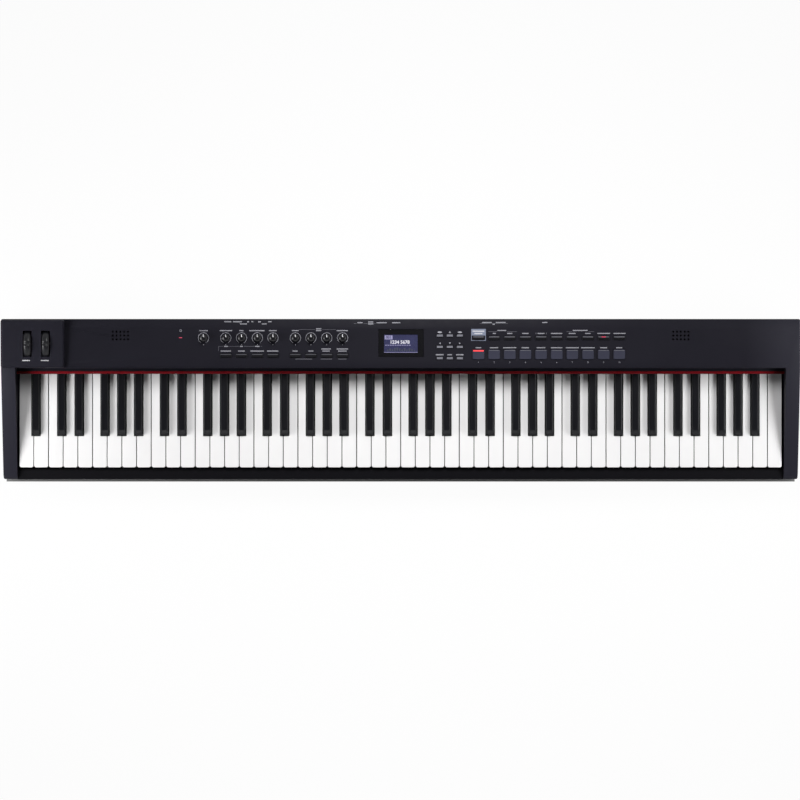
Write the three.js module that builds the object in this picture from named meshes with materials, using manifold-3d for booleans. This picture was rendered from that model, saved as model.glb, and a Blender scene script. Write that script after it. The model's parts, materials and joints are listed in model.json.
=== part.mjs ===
// Stage piano with 88 weighted keys, built as the pieces it comes apart into.
// Millimetres. +X runs to the treble end, +Y to the rear and +Z up.
// The origin is on the floor, below the middle of the case.
import * as THREE from "three";
import { mergeVertices } from "three/addons/utils/BufferGeometryUtils.js";
import Module from "manifold-3d";

const wasm = await Module();
wasm.setup();

// Driving dimensions, from left to right
const octaveSpan = 166;
const sideGap = 3;
const cheekWidth = 23;

// Driving dimensions, from front to back
const railDepth = 16.7;
const railKeyGap = 2.9;
const whiteVisible = 151;
const ledgeDepth = 9.4;
const panelDepth = 78.7;

// Driving dimensions, from the floor up
const footHeight = 10;
const lowerCaseHeight = 28;
const keyLevel = 74;
const blackRise = 12;
const panelRise = 56;
const podRise = 14;

// Walls, clearances and the reach of cutting bodies past what they cut
const wall = 2.5;
const floorThickness = 3;
const gap = 0.3;
const overrun = 4;

// Counts that the keyboard is named for
const whiteCount = 52;
const whitesPerOctave = 7;

// Case outline
const caseShape = {
  railProud: 0.5,
  noseDrop: 12,
  noseChamferDepth: 6.5,
  noseChamferRise: 8.5,
  rearBevel: 12,
  rearBevelDrop: 2,
  endRound: 2.5,
  ledgeClearance: 2,
  ledgeThickness: 2,
};

// Lines that every piece is set out from
const whitePitch = octaveSpan / whitesPerOctave;
const keyboardHalf = (whitePitch * whiteCount) / 2;
const bayHalf = keyboardHalf + sideGap;
const caseHalf = bayHalf + cheekWidth;
const caseDepth = railDepth + railKeyGap + whiteVisible + ledgeDepth + panelDepth;
const frontY = -caseDepth / 2;
const cheekFrontY = frontY + caseShape.railProud;
const keyFrontY = frontY + railDepth + railKeyGap;
const ledgeFrontY = keyFrontY + whiteVisible;
const panelFrontY = ledgeFrontY + ledgeDepth;
const rearY = panelFrontY + panelDepth;
const floorTopZ = footHeight + floorThickness;
const seamZ = footHeight + lowerCaseHeight;
const whiteTopZ = footHeight + keyLevel;
const blackTopZ = whiteTopZ + blackRise;
const ledgeUnderZ = blackTopZ + caseShape.ledgeClearance;
const ledgeTopZ = ledgeUnderZ + caseShape.ledgeThickness;
const panelTopZ = whiteTopZ + panelRise;
const panelUnderZ = panelTopZ - wall;
const podTopZ = panelTopZ + podRise;

// Places on the panel, as shares of half its width and of its depth
const volumeKnobShare = -0.493;
const zoneKnobShares = [-0.4373, -0.3979, -0.3584, -0.3193];
const toneKnobShares = [-0.2632, -0.2243, -0.1848, -0.1451];
const groupedKnobShares = [...zoneKnobShares, ...toneKnobShares];
const knobShares = [volumeKnobShare, ...groupedKnobShares];
const displayShare = 0.0011;
const keypadShare = 0.1231;
const firstColumnShare = 0.1947;
const lastColumnShare = 0.547;
const columnCount = 10;
const speakerShare = 0.7009;
const knobRowShare = 0.6125;
const leftButtonRowShare = 0.2529;
const displayRowShare = 0.5057;
const keypadRowShare = 0.4308;
const padRowShare = 0.2757;
const grilleRowShare = 0.662;
const wheelRowShare = 0.4917;
const boardEndShares = [-0.5365, 0.568];
const boardPostShares = [-0.52, -0.2915, -0.09, 0.15, 0.36, 0.56];

const panelX = (share) => share * caseHalf;
const panelY = (share) => panelFrontY + share * panelDepth;
const columnX = (column) =>
  panelX(firstColumnShare + ((lastColumnShare - firstColumnShare) * column) / (columnCount - 1));
const columns = Array.from({ length: columnCount }, (_, column) => columnX(column));

// Colours, roughness and metalness of the finishes
const finish = (color, roughness, metalness = 0) =>
  new THREE.MeshStandardMaterial({ color, roughness, metalness });
const caseFinish = finish(0x1c1b22, 0.62);
const railFinish = finish(0x24232b, 0.5);
const whiteFinish = finish(0xf4f3ef, 0.28);
const blackFinish = finish(0x121214, 0.4);
const controlFinish = finish(0x15151a, 0.35);
const capFinish = finish(0x8d8c97, 0.6);
const padFinish = finish(0x3d3c4b, 0.7);
const feltFinish = finish(0x8e1420, 0.95);
const glassFinish = finish(0x0b0c14, 0.12);
const screenFinish = finish(0x4a5ad8, 0.4);
const boardFinish = finish(0x1f4a2c, 0.55);
const steelFinish = finish(0xa9abb0, 0.4, 0.9);
const platedFinish = finish(0x2b2b30, 0.45, 0.6);
const coneFinish = finish(0x26252a, 0.8);
const rubberFinish = finish(0x17171a, 0.9);

// Solids

const xAxis = new THREE.Vector3(1, 0, 0);
const yAxis = new THREE.Vector3(0, 1, 0);
const zAxis = new THREE.Vector3(0, 0, 1);

// A closed geometry as a solid: corners in one place are merged, flat slivers dropped.
function solid(geometry) {
  const bare = geometry.clone();
  bare.deleteAttribute("normal");
  bare.deleteAttribute("uv");
  const merged = mergeVertices(bare);
  const corners = [];
  for (let i = 0; i < merged.index.count; i += 3) {
    const [a, b, c] = [0, 1, 2].map((k) => merged.index.getX(i + k));
    if (a !== b && b !== c && c !== a) corners.push(a, b, c);
  }
  const vertProperties = merged.attributes.position.array;
  const triVerts = new Uint32Array(corners);
  return new wasm.Manifold(new wasm.Mesh({ numProp: 3, vertProperties, triVerts }));
}

// A solid as a geometry with flat faces.
function geometryOf(body) {
  const { vertProperties, triVerts } = body.getMesh();
  const indexed = new THREE.BufferGeometry();
  indexed.setAttribute("position", new THREE.BufferAttribute(vertProperties, 3));
  indexed.setIndex(new THREE.BufferAttribute(triVerts, 1));
  const flat = indexed.toNonIndexed();
  flat.computeVertexNormals();
  return flat;
}

const joined = (bodies) => bodies.reduce((whole, body) => whole.add(body));
const cut = (body, tools) => body.subtract(joined(tools));
const around = (middle, width) => [middle - width / 2, middle + width / 2];

function block([x0, x1], [y0, y1], [z0, z1]) {
  const box = new THREE.BoxGeometry(x1 - x0, y1 - y0, z1 - z0);
  return solid(box.translate((x0 + x1) / 2, (y0 + y1) / 2, (z0 + z1) / 2));
}

// An outline extruded from one level to another, with its two rims rounded when asked.
function extruded(outline, from, to, round) {
  const shape = new THREE.Shape(outline.map(([u, v]) => new THREE.Vector2(u, v)));
  const geometry = new THREE.ExtrudeGeometry(shape, {
    depth: to - from - 2 * round,
    bevelEnabled: round > 0,
    bevelThickness: round,
    bevelSize: round,
    bevelOffset: -round,
    bevelSegments: 2,
  });
  return geometry.translate(0, 0, from + round);
}

// Outlines in (y, z) along X, in (x, z) along Y and in (x, y) along Z.
function alongX(outline, [from, to], round = 0) {
  const basis = new THREE.Matrix4().makeBasis(yAxis, zAxis, xAxis);
  return solid(extruded(outline, from, to, round).applyMatrix4(basis));
}

function alongY(outline, [from, to], round = 0) {
  const basis = new THREE.Matrix4().makeBasis(xAxis, zAxis, yAxis.clone().negate());
  return solid(extruded(outline, -to, -from, round).applyMatrix4(basis));
}

function alongZ(outline, [from, to], round = 0) {
  return solid(extruded(outline, from, to, round));
}

const rectangle = ([u0, u1], [v0, v1]) => [
  [u0, v0],
  [u1, v0],
  [u1, v1],
  [u0, v1],
];

// A profile in (radius, z) turned about Z: up on the outside, down on the inside.
function turnedGeometry(profile, segments) {
  const points = profile.map(([radius, z]) => new THREE.Vector2(radius, z));
  return new THREE.LatheGeometry(points, segments).rotateX(Math.PI / 2);
}

function rod(radius, [from, to], axis, [u, v], sides) {
  const geometry = new THREE.CylinderGeometry(radius, radius, to - from, sides);
  const middle = (from + to) / 2;
  if (axis === "x") geometry.rotateZ(Math.PI / 2).translate(middle, u, v);
  if (axis === "y") geometry.translate(u, middle, v);
  if (axis === "z") geometry.rotateX(Math.PI / 2).translate(u, v, middle);
  return solid(geometry);
}

// A convex outline, counter-clockwise, with each side moved inwards by a distance.
function inset(outline, distance) {
  const sides = outline.map((start, i) => {
    const end = outline[(i + 1) % outline.length];
    const along = new THREE.Vector2(end[0] - start[0], end[1] - start[1]).normalize();
    const inward = new THREE.Vector2(-along.y, along.x);
    return { along, start: new THREE.Vector2(...start).addScaledVector(inward, distance) };
  });
  return sides.map((side, i) => {
    const before = sides[(i + sides.length - 1) % sides.length];
    const offset = side.start.clone().sub(before.start);
    const reach = offset.cross(side.along) / before.along.cross(side.along);
    return before.start.clone().addScaledVector(before.along, reach).toArray();
  });
}

// An outline with its corners cut as short curves; a radius of zero keeps a corner sharp.
function rounded(outline, radii, steps = 2) {
  return outline.flatMap((corner, i) => {
    const radius = Array.isArray(radii) ? radii[i] : radii;
    if (radius === 0) return [corner];
    const middle = new THREE.Vector2(...corner);
    const towards = (other) =>
      middle.clone().add(new THREE.Vector2(...other).sub(middle).setLength(radius));
    const before = towards(outline[(i + outline.length - 1) % outline.length]);
    const after = towards(outline[(i + 1) % outline.length]);
    const curve = new THREE.QuadraticBezierCurve(before, middle, after);
    return curve.getPoints(steps).map((point) => point.toArray());
  });
}

// Case

function sideOutline(bottomZ) {
  const noseZ = whiteTopZ - caseShape.noseDrop;
  return [
    [cheekFrontY, bottomZ],
    [rearY, bottomZ],
    [rearY, panelTopZ - caseShape.rearBevelDrop],
    [rearY - caseShape.rearBevel, panelTopZ],
    [panelFrontY, panelTopZ],
    [cheekFrontY + caseShape.noseChamferDepth, noseZ + caseShape.noseChamferRise],
    [cheekFrontY, noseZ],
  ];
}

const foot = { radius: 12, topRadius: 10.5, edge: 1.5, recess: 1, fromEnd: 82, fromEdge: 39 };
const footSides = 12;
const footPlaces = {
  foot_front_left: [-(caseHalf - foot.fromEnd), frontY + foot.fromEdge],
  foot_front_right: [caseHalf - foot.fromEnd, frontY + foot.fromEdge],
  foot_rear_left: [-(caseHalf - foot.fromEnd), rearY - foot.fromEdge],
  foot_rear_right: [caseHalf - foot.fromEnd, rearY - foot.fromEdge],
};

// The rail stands in a rebate along the front of the lower case.
const rail = { thickness: 3, lift: 2, nose: 3, keyDrop: 11.5 };
const railBackY = frontY + rail.thickness;
const railTopZ = whiteTopZ - rail.keyDrop;

function makeBottomCase() {
  const body = block([-caseHalf, caseHalf], [cheekFrontY, rearY], [footHeight, seamZ]);
  const frontWallY = railBackY + gap;
  const hollow = block(
    around(0, 2 * (caseHalf - floorThickness)),
    [frontWallY + floorThickness, rearY - floorThickness],
    [floorTopZ, seamZ + overrun],
  );
  const rebate = block(
    around(0, 2 * bayHalf),
    [frontY - overrun, frontWallY],
    [footHeight + rail.lift - gap, seamZ + overrun],
  );
  const recesses = Object.values(footPlaces).map(([x, y]) =>
    rod(foot.topRadius + gap, [footHeight - overrun, footHeight + foot.recess], "z", [x, y], footSides),
  );
  return cut(body, [hollow, rebate, ...recesses]);
}

function makeFoot() {
  const height = footHeight + foot.recess - gap;
  const profile = [
    [0, 0],
    [foot.radius - foot.edge, 0],
    [foot.radius, foot.edge],
    [foot.topRadius, footHeight - gap],
    [foot.topRadius, height],
    [0, height],
  ];
  return solid(turnedGeometry(profile, footSides));
}

function makeFrontRail() {
  const innerZ = railTopZ - rail.thickness;
  const lipY = frontY + railDepth;
  const bottomZ = footHeight + rail.lift;
  const outline = [
    [frontY, bottomZ],
    [railBackY, bottomZ],
    [railBackY, innerZ],
    [lipY, innerZ],
    [lipY, railTopZ],
    [frontY, railTopZ],
  ];
  const noseLast = [0, 0, 0, 0, 0, rail.nose];
  return alongX(rounded(outline, noseLast, 3), around(0, 2 * (bayHalf - gap)));
}

// Wheel pod, and the wheels that stand out of its sloping top
const pod = { width: 102.6, frontInset: 0.3, rearInset: 1.5, drop: 5.5, round: 3 };
const podFrontY = panelFrontY + pod.frontInset;
const podRearY = rearY - pod.rearInset;
const podX = [-caseHalf, -caseHalf + pod.width];
const podSurfaceZ = (y) => podTopZ - (pod.drop * (podRearY - y)) / (podRearY - podFrontY);

const wheel = { radius: 24, width: 11, proud: 7.75, pitch: 29.4, edge: 1.5 };
const wheelNotch = { width: 4, depth: 1.5 };
const wheelSides = 20;
const wheelY = panelY(wheelRowShare);
const wheelZ = podSurfaceZ(wheelY) + wheel.proud - wheel.radius;
const wheelPodShare = 0.5636;
const wheelMiddleX = podX[0] + wheelPodShare * pod.width;
const wheelXs = {
  pitch_wheel: wheelMiddleX - wheel.pitch / 2,
  mod_wheel: wheelMiddleX + wheel.pitch / 2,
};
const slot = { width: 14, margin: 3.2 };
const bracket = { plate: 3, halfLength: 16, base: 2, baseClearance: 3, axleRadius: 2.5 };
const axleSides = 12;

function makeWheelPod() {
  const bevelShare = 1 - pod.rearInset / caseShape.rearBevel;
  const bevelZ = caseShape.rearBevelDrop * bevelShare;
  const outline = [
    [podFrontY, panelTopZ + gap],
    [rearY - caseShape.rearBevel, panelTopZ + gap],
    [podRearY, panelTopZ + gap - bevelZ],
    [podRearY, podTopZ],
    [podFrontY, podSurfaceZ(podFrontY)],
  ];
  const body = alongX(rounded(outline, [0, 0, 0, pod.round, pod.round]), podX, pod.round);
  const hollowOutline = [
    [podFrontY + wall, panelTopZ - overrun],
    [podRearY - wall, panelTopZ - overrun],
    [podRearY - wall, podSurfaceZ(podRearY - wall) - wall],
    [podFrontY + wall, podSurfaceZ(podFrontY + wall) - wall],
  ];
  const hollow = alongX(hollowOutline, [podX[0] + wall, podX[1] - wall]);
  const chordHalf = Math.sqrt(wheel.radius ** 2 - (wheel.radius - wheel.proud) ** 2);
  const slots = Object.values(wheelXs).map((x) =>
    block(
      around(x, slot.width),
      around(wheelY, 2 * (chordHalf + slot.margin)),
      [panelTopZ, podTopZ + overrun],
    ),
  );
  return cut(body, [hollow, ...slots]);
}

function makeWheelBracket() {
  const baseZ = wheelZ - wheel.radius - bracket.baseClearance;
  const y0 = wheelY - bracket.halfLength;
  const y1 = wheelY + bracket.halfLength;
  const clearance = wall + gap;
  const plateOutline = [
    [y0, baseZ - bracket.base],
    [y1, baseZ - bracket.base],
    [y1, podSurfaceZ(y1) - clearance],
    [y0, podSurfaceZ(y0) - clearance],
  ];
  const plateXs = [-1, 0, 1].map((step) => wheelMiddleX + step * wheel.pitch);
  const plates = plateXs.map((x) => alongX(plateOutline, around(x, bracket.plate)));
  const base = block([plateXs[0], plateXs[2]], [y0, y1], [baseZ - bracket.base, baseZ]);
  const axle = rod(bracket.axleRadius, [plateXs[0], plateXs[2]], "x", [wheelY, wheelZ], axleSides);
  return joined([...plates, base, axle]);
}

function makeWheel() {
  const half = wheel.width / 2;
  const bore = bracket.axleRadius + gap;
  const profile = [
    [bore, -half],
    [wheel.radius - wheel.edge, -half],
    [wheel.radius, wheel.edge - half],
    [wheel.radius, half - wheel.edge],
    [wheel.radius - wheel.edge, half],
    [bore, half],
    [bore, -half],
  ];
  const tyre = solid(turnedGeometry(profile, wheelSides).rotateY(Math.PI / 2));
  const notch = block(
    around(0, wheel.width + overrun),
    around(0, wheelNotch.width),
    [wheel.radius - wheelNotch.depth, wheel.radius + overrun],
  );
  return cut(tyre, [notch]);
}

// Rear sockets, laid out in groups whose middles are shares of half the width
const socketBoard = { depthBelowPanel: 36.4, thickness: 1.6, depth: 28, margin: 12 };
const socketBoardTopZ = panelTopZ - socketBoard.depthBelowPanel;
const socketAxis = { aboveBoard: 8.4 };
const socketZ = socketBoardTopZ + socketAxis.aboveBoard;
const socketKinds = {
  power: { width: 10, height: 13, depth: 12, noseRadius: 4.6, mouthRadius: 3.2, mouthDepth: 9 },
  rocker: { width: 13 },
  usbB: { width: 12, height: 13.2, depth: 15, nose: [11, 10.5], mouth: [8.6, 7.8], mouthDepth: 9 },
  usbA: { width: 14.5, height: 12.4, depth: 14, nose: [14, 7], mouth: [12.4, 5], mouthDepth: 9 },
  midi: { width: 16, height: 16.4, depth: 12, noseRadius: 7.9, mouthRadius: 6.4, mouthDepth: 8 },
  jack: { width: 12, height: 14.6, depth: 22, noseRadius: 5.4, mouthRadius: 3.3, mouthDepth: 20 },
  mini: { width: 9, height: 12.6, depth: 13, noseRadius: 3.6, mouthRadius: 1.8, mouthDepth: 12 },
};
const socketGroups = [
  { middleShare: -0.3941, spacing: 4, kinds: ["power", "rocker", "usbB", "usbA", "midi", "midi"] },
  { middleShare: -0.0743, spacing: 5.5, kinds: ["jack", "jack", "jack"] },
  { middleShare: -0.0109, spacing: 5.5, kinds: ["jack"] },
  { middleShare: 0.2317, spacing: 10.3, kinds: ["jack", "jack"] },
  { middleShare: 0.3634, spacing: 8.5, kinds: ["jack", "mini"] },
];
const socketSides = 8;
const jackPlate = { thickness: 1.5, halfHeight: 16.5, margin: 16, rim: 3, noseRecess: 0.8 };
const plateRearY = rearY - wall - gap;
const plateFrontY = plateRearY - jackPlate.thickness;

function socketPlaces() {
  return socketGroups.flatMap(({ middleShare, spacing, kinds }) => {
    const widths = kinds.map((kind) => socketKinds[kind].width);
    const span = widths.reduce((sum, width) => sum + width) + spacing * (kinds.length - 1);
    let x = panelX(middleShare) - span / 2;
    return kinds.map((kind, i) => {
      const place = { kind, x: x + widths[i] / 2 };
      x += widths[i] + spacing;
      return place;
    });
  });
}

const sockets = socketPlaces();
const plugSockets = sockets.filter(({ kind }) => kind !== "rocker");
const firstSocket = sockets[0];
const lastSocket = sockets[sockets.length - 1];
const socketSpan = [
  firstSocket.x - socketKinds[firstSocket.kind].width / 2,
  lastSocket.x + socketKinds[lastSocket.kind].width / 2,
];
const widened = ([from, to], margin) => [from - margin, to + margin];

// Power rocker: a shallow V seen from the side, at rest with one half pressed in
const rocker = { halfHeight: 8.6, tilt: 7, face: 3.2, back: 5, backHalf: 6, pivotInset: 5.6 };
const rockerX = sockets.find(({ kind }) => kind === "rocker").x;
const rockerY = rearY - rocker.pivotInset;
const rockerTilt = THREE.MathUtils.degToRad(rocker.tilt);
const rockerTipY = rocker.face + rocker.halfHeight * Math.tan(rockerTilt);
const rockerReach = Math.hypot(rocker.halfHeight, rockerTipY);

function makeRocker() {
  const outline = [
    [-rocker.back, -rocker.backHalf],
    [rockerTipY, -rocker.halfHeight],
    [rocker.face, 0],
    [rockerTipY, rocker.halfHeight],
    [-rocker.back, rocker.backHalf],
  ];
  return alongX(outline, around(0, socketKinds.rocker.width - 2 * gap));
}

// The nose of a socket, grown by a clearance to make its hole in the plate.
function socketNose({ kind, x }, [y0, y1], growth) {
  const { nose, noseRadius } = socketKinds[kind];
  if (noseRadius) return rod(noseRadius + growth, [y0, y1], "y", [x, socketZ], socketSides);
  return block(around(x, nose[0] + 2 * growth), [y0, y1], around(socketZ, nose[1] + 2 * growth));
}

function makeSocket({ kind, x }) {
  const { width, height, depth, mouth, mouthRadius, mouthDepth } = socketKinds[kind];
  const bodyY = [plateFrontY - gap - depth, plateFrontY - gap];
  const noseY = rearY - jackPlate.noseRecess;
  const housing = block(around(x, width), bodyY, [socketBoardTopZ, socketBoardTopZ + height]);
  const nose = socketNose({ kind, x }, [plateFrontY - depth / 2, noseY], 0);
  const mouthY = [noseY - mouthDepth, noseY + overrun];
  const opening = mouthRadius
    ? rod(mouthRadius, mouthY, "y", [x, socketZ], socketSides)
    : block(around(x, mouth[0]), mouthY, around(socketZ, mouth[1]));
  return cut(housing.add(nose), [opening]);
}

function makeMainBoard() {
  const boardZ = [socketBoardTopZ - socketBoard.thickness, socketBoardTopZ];
  const boardY = [plateFrontY - gap - socketBoard.depth, plateFrontY - gap];
  const board = block(widened(socketSpan, socketBoard.margin), boardY, boardZ);
  return joined([board, ...plugSockets.map(makeSocket)]);
}

function makeRearJackPanel() {
  const plate = block(
    widened(socketSpan, jackPlate.margin),
    [plateFrontY, plateRearY],
    around(socketZ, 2 * jackPlate.halfHeight),
  );
  const through = [plateFrontY - overrun, plateRearY + overrun];
  const rockerHole = block(
    around(rockerX, socketKinds.rocker.width),
    through,
    around(socketZ, 2 * (rockerReach + gap)),
  );
  const noseHoles = plugSockets.map((socket) => socketNose(socket, through, gap));
  return cut(plate, [rockerHole, ...noseHoles]);
}

// Upper case: panel, rear wall, ledge and both cheeks in one moulding

const knob = { radius: 6.4, topRadius: 5.6, height: 12, dome: 2, lift: 1, shaftRadius: 3, holeGap: 0.5 };
const knobSides = 12;
const knobDomeSteps = 3;
const knobMark = { width: 1.2, depth: 0.8, start: 2.7 };
const button = { width: 18, depth: 6, rise: 2, corner: 0.8, carrier: 1.5, carrierDepth: 10 };
const keypad = { pitchX: 16.1, pitchY: 18.2, width: 11, depth: 5, rise: 1.5, corner: 0.8 };
const keypadMat = { thickness: 2, margin: 5 };
const pad = { width: 18.5, depth: 15.3, rise: 2.5, corner: 1.5, travel: 1.2 };
const padFlange = { thickness: 1.5, reach: 1.5 };
const display = { width: 72.4, depth: 44.1, thickness: 1.5, lip: 3, corner: 1.5 };
const grille = { pitch: 6.1, holeRadius: 1.75, countX: 5, countY: 3 };
const grilleSides = 6;
const boardPost = { width: 6, fromRear: 13 };
const panelBoard = { drop: 10.9, thickness: 1.6, frontMargin: 7.4, rearMargin: 7 };
const boardTopZ = panelUnderZ - panelBoard.drop;

const keypadX = [-1, 0, 1].map((step) => panelX(keypadShare) + step * keypad.pitchX);
const keypadY = [-1, 0, 1].map((step) => panelY(keypadRowShare) + step * keypad.pitchY);
const keypadPlaces = keypadX.flatMap((x) => keypadY.map((y) => [x, y]));
const leftButtonPlaces = groupedKnobShares.map((share) => [panelX(share), panelY(leftButtonRowShare)]);
const rightButtonPlaces = columns.map((x) => [x, panelY(knobRowShare)]);
const buttonPlaces = [...leftButtonPlaces, ...rightButtonPlaces];
const padPlaces = columns.map((x) => [x, panelY(padRowShare)]);
const displayX = panelX(displayShare);
const displayY = panelY(displayRowShare);
const displayBottomZ = panelTopZ - display.thickness;
const throughPanel = [panelUnderZ - overrun, panelTopZ + overrun];

function opening([x, y], width, depth) {
  return block(around(x, width + 2 * gap), around(y, depth + 2 * gap), throughPanel);
}

function grilleHoles(middleX) {
  const steps = (count) => {
    const middle = (count - 1) / 2;
    return Array.from({ length: count }, (_, step) => (step - middle) * grille.pitch);
  };
  return steps(grille.countX).flatMap((dx) =>
    steps(grille.countY).map((dy) => {
      const place = [middleX + dx, panelY(grilleRowShare) + dy];
      return rod(grille.holeRadius, throughPanel, "z", place, grilleSides);
    }),
  );
}

function makeTopCase() {
  const bottomZ = seamZ + gap;
  const body = alongX(sideOutline(bottomZ), [-caseHalf, caseHalf], caseShape.endRound);
  const keyBay = block(
    around(0, 2 * bayHalf),
    [frontY - overrun, panelFrontY],
    [bottomZ - overrun, panelTopZ + overrun],
  );
  const innerOutline = inset(sideOutline(bottomZ - wall - overrun), wall);
  const bayWalls = block(
    around(0, 2 * (bayHalf + wall)),
    [frontY - overrun, panelFrontY + wall],
    [bottomZ - 2 * overrun - wall, panelTopZ + overrun],
  );
  const hollow = alongX(innerOutline, around(0, 2 * (caseHalf - wall))).subtract(bayWalls);
  const keyPassage = block(
    around(0, 2 * bayHalf),
    [panelFrontY - overrun, panelFrontY + wall + overrun],
    [bottomZ - overrun, ledgeUnderZ],
  );
  const ledge = block(
    around(0, 2 * (bayHalf + wall / 2)),
    [ledgeFrontY, panelFrontY + wall / 2],
    [ledgeUnderZ, ledgeTopZ],
  );
  const posts = boardPostShares.map((share) =>
    block(
      around(panelX(share), boardPost.width),
      around(rearY - boardPost.fromRear, boardPost.width),
      [boardTopZ + gap, panelTopZ - wall / 2],
    ),
  );
  const podHole = block(
    around(wheelMiddleX, 2 * wheel.pitch + 2 * bracket.plate),
    around(wheelY, 2 * (wheel.radius + bracket.baseClearance)),
    throughPanel,
  );
  const knobRadius = knob.shaftRadius + knob.holeGap;
  const knobHoles = knobShares.map((share) =>
    rod(knobRadius, throughPanel, "z", [panelX(share), panelY(knobRowShare)], socketSides),
  );
  const windowRebate = block(
    around(displayX, display.width + 2 * gap),
    around(displayY, display.depth + 2 * gap),
    [displayBottomZ - gap, panelTopZ + overrun],
  );
  const windowHole = opening(
    [displayX, displayY],
    display.width - 2 * display.lip,
    display.depth - 2 * display.lip,
  );
  const rearWindow = block(
    widened(socketSpan, jackPlate.margin - jackPlate.rim),
    [rearY - wall - overrun / 2, rearY + overrun],
    around(socketZ, 2 * (jackPlate.halfHeight - jackPlate.rim)),
  );
  const shell = cut(body, [keyBay, hollow, keyPassage]);
  return cut(joined([shell, ledge, ...posts]), [
    podHole,
    windowRebate,
    windowHole,
    rearWindow,
    ...knobHoles,
    ...buttonPlaces.map((place) => opening(place, button.width, button.depth)),
    ...keypadPlaces.map((place) => opening(place, keypad.width, keypad.depth)),
    ...padPlaces.map((place) => opening(place, pad.width, pad.depth)),
    ...grilleHoles(panelX(speakerShare)),
    ...grilleHoles(-panelX(speakerShare)),
  ]);
}

// Red felt strip on the ledge behind the keys
const felt = { thickness: 2.2, frontInset: 0.3, rearInset: 5 };

function makeFelt() {
  return block(
    around(0, 2 * (bayHalf - gap)),
    [ledgeFrontY + felt.frontInset, panelFrontY - felt.rearInset],
    [ledgeTopZ + gap, ledgeTopZ + gap + felt.thickness],
  );
}

// Panel controls and the boards below them

const carrierTopZ = panelUnderZ - gap;

// A cap with rounded corners, standing from one level to another.
function cap([x, y], { width, depth, corner }, heights) {
  return alongZ(rounded(rectangle(around(x, width), around(y, depth)), corner, 1), heights);
}

// A row of caps on one carrier strip below the panel.
function makeButtonRow(places) {
  const xs = places.map(([x]) => x);
  const strip = block(
    widened([Math.min(...xs), Math.max(...xs)], button.width / 2),
    around(places[0][1], button.carrierDepth),
    [carrierTopZ - button.carrier, carrierTopZ],
  );
  const heights = [carrierTopZ - button.carrier / 2, panelTopZ + button.rise];
  const caps = places.map((place) => cap(place, button, heights));
  return joined([strip, ...caps]);
}

function makeKeypad() {
  const mat = block(
    widened([keypadX[0], keypadX[2]], keypadMat.margin + keypad.corner),
    widened([keypadY[0], keypadY[2]], keypadMat.margin),
    [carrierTopZ - keypadMat.thickness, carrierTopZ],
  );
  const heights = [carrierTopZ - keypadMat.thickness / 2, panelTopZ + keypad.rise];
  const caps = keypadPlaces.map((place) => cap(place, keypad, heights));
  return joined([mat, ...caps]);
}

// A pad around its own middle, with its level zero at the panel's upper face.
function makePad() {
  const flangeTopZ = -wall - gap;
  const flangeBottomZ = flangeTopZ - padFlange.thickness;
  const body = cap([0, 0], pad, [flangeBottomZ, pad.rise]);
  const flange = block(
    around(0, pad.width + 2 * padFlange.reach),
    around(0, pad.depth + 2 * padFlange.reach),
    [flangeBottomZ, flangeTopZ],
  );
  return body.add(flange);
}

const pot = { size: 12, height: 6, bore: 4 };
const potTopZ = boardTopZ + pot.height;
const knobBottomZ = potTopZ - pot.bore + gap;

// A knob and its shaft around their own axis, with level zero at the shaft's lower end.
function makeKnob() {
  const capZ = panelTopZ + knob.lift - knobBottomZ;
  const topZ = capZ + knob.height;
  const domeRadius = (knob.topRadius ** 2 + knob.dome ** 2) / (2 * knob.dome);
  const domeZ = (reach) => topZ - domeRadius + Math.sqrt(domeRadius ** 2 - reach ** 2);
  const dome = Array.from({ length: knobDomeSteps + 1 }, (_, step) => {
    const reach = knob.topRadius * (1 - step / knobDomeSteps);
    return [reach, domeZ(reach)];
  });
  const body = solid(turnedGeometry([[0, capZ], [knob.radius, capZ], ...dome], knobSides));
  const shaft = rod(knob.shaftRadius, [0, capZ + knob.dome], "z", [0, 0], socketSides);
  const markOutline = [
    [knobMark.start, domeZ(knobMark.start) - knobMark.depth],
    [knob.topRadius, domeZ(knob.topRadius) - knobMark.depth],
    [knob.radius + overrun, domeZ(knob.topRadius) - knobMark.depth],
    [knob.radius + overrun, topZ + overrun],
    [knobMark.start, topZ + overrun],
  ];
  return cut(body.add(shaft), [alongX(markOutline, around(0, knobMark.width))]);
}

function makeDisplayWindow() {
  const outline = rectangle(around(displayX, display.width), around(displayY, display.depth));
  return alongZ(outline, [displayBottomZ, panelTopZ]);
}

const lcd = { inset: 0.5, frame: 3.4, facePit: 0.6 };

function makeLcdModule() {
  const width = display.width - 2 * display.lip - 2 * lcd.inset;
  const depth = display.depth - 2 * display.lip - 2 * lcd.inset;
  const topZ = displayBottomZ - gap;
  const body = block(around(displayX, width), around(displayY, depth), [boardTopZ + gap, topZ]);
  const face = block(
    around(displayX, width - 2 * lcd.frame),
    around(displayY, depth - 2 * lcd.frame),
    [topZ - lcd.facePit, topZ + overrun],
  );
  return cut(body, [face]);
}

// A strip of switches under each row of buttons, one of sensors under the pads
// and a pot under each knob.
const contactStrip = { depth: 6, clearance: 0.5 };

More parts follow.
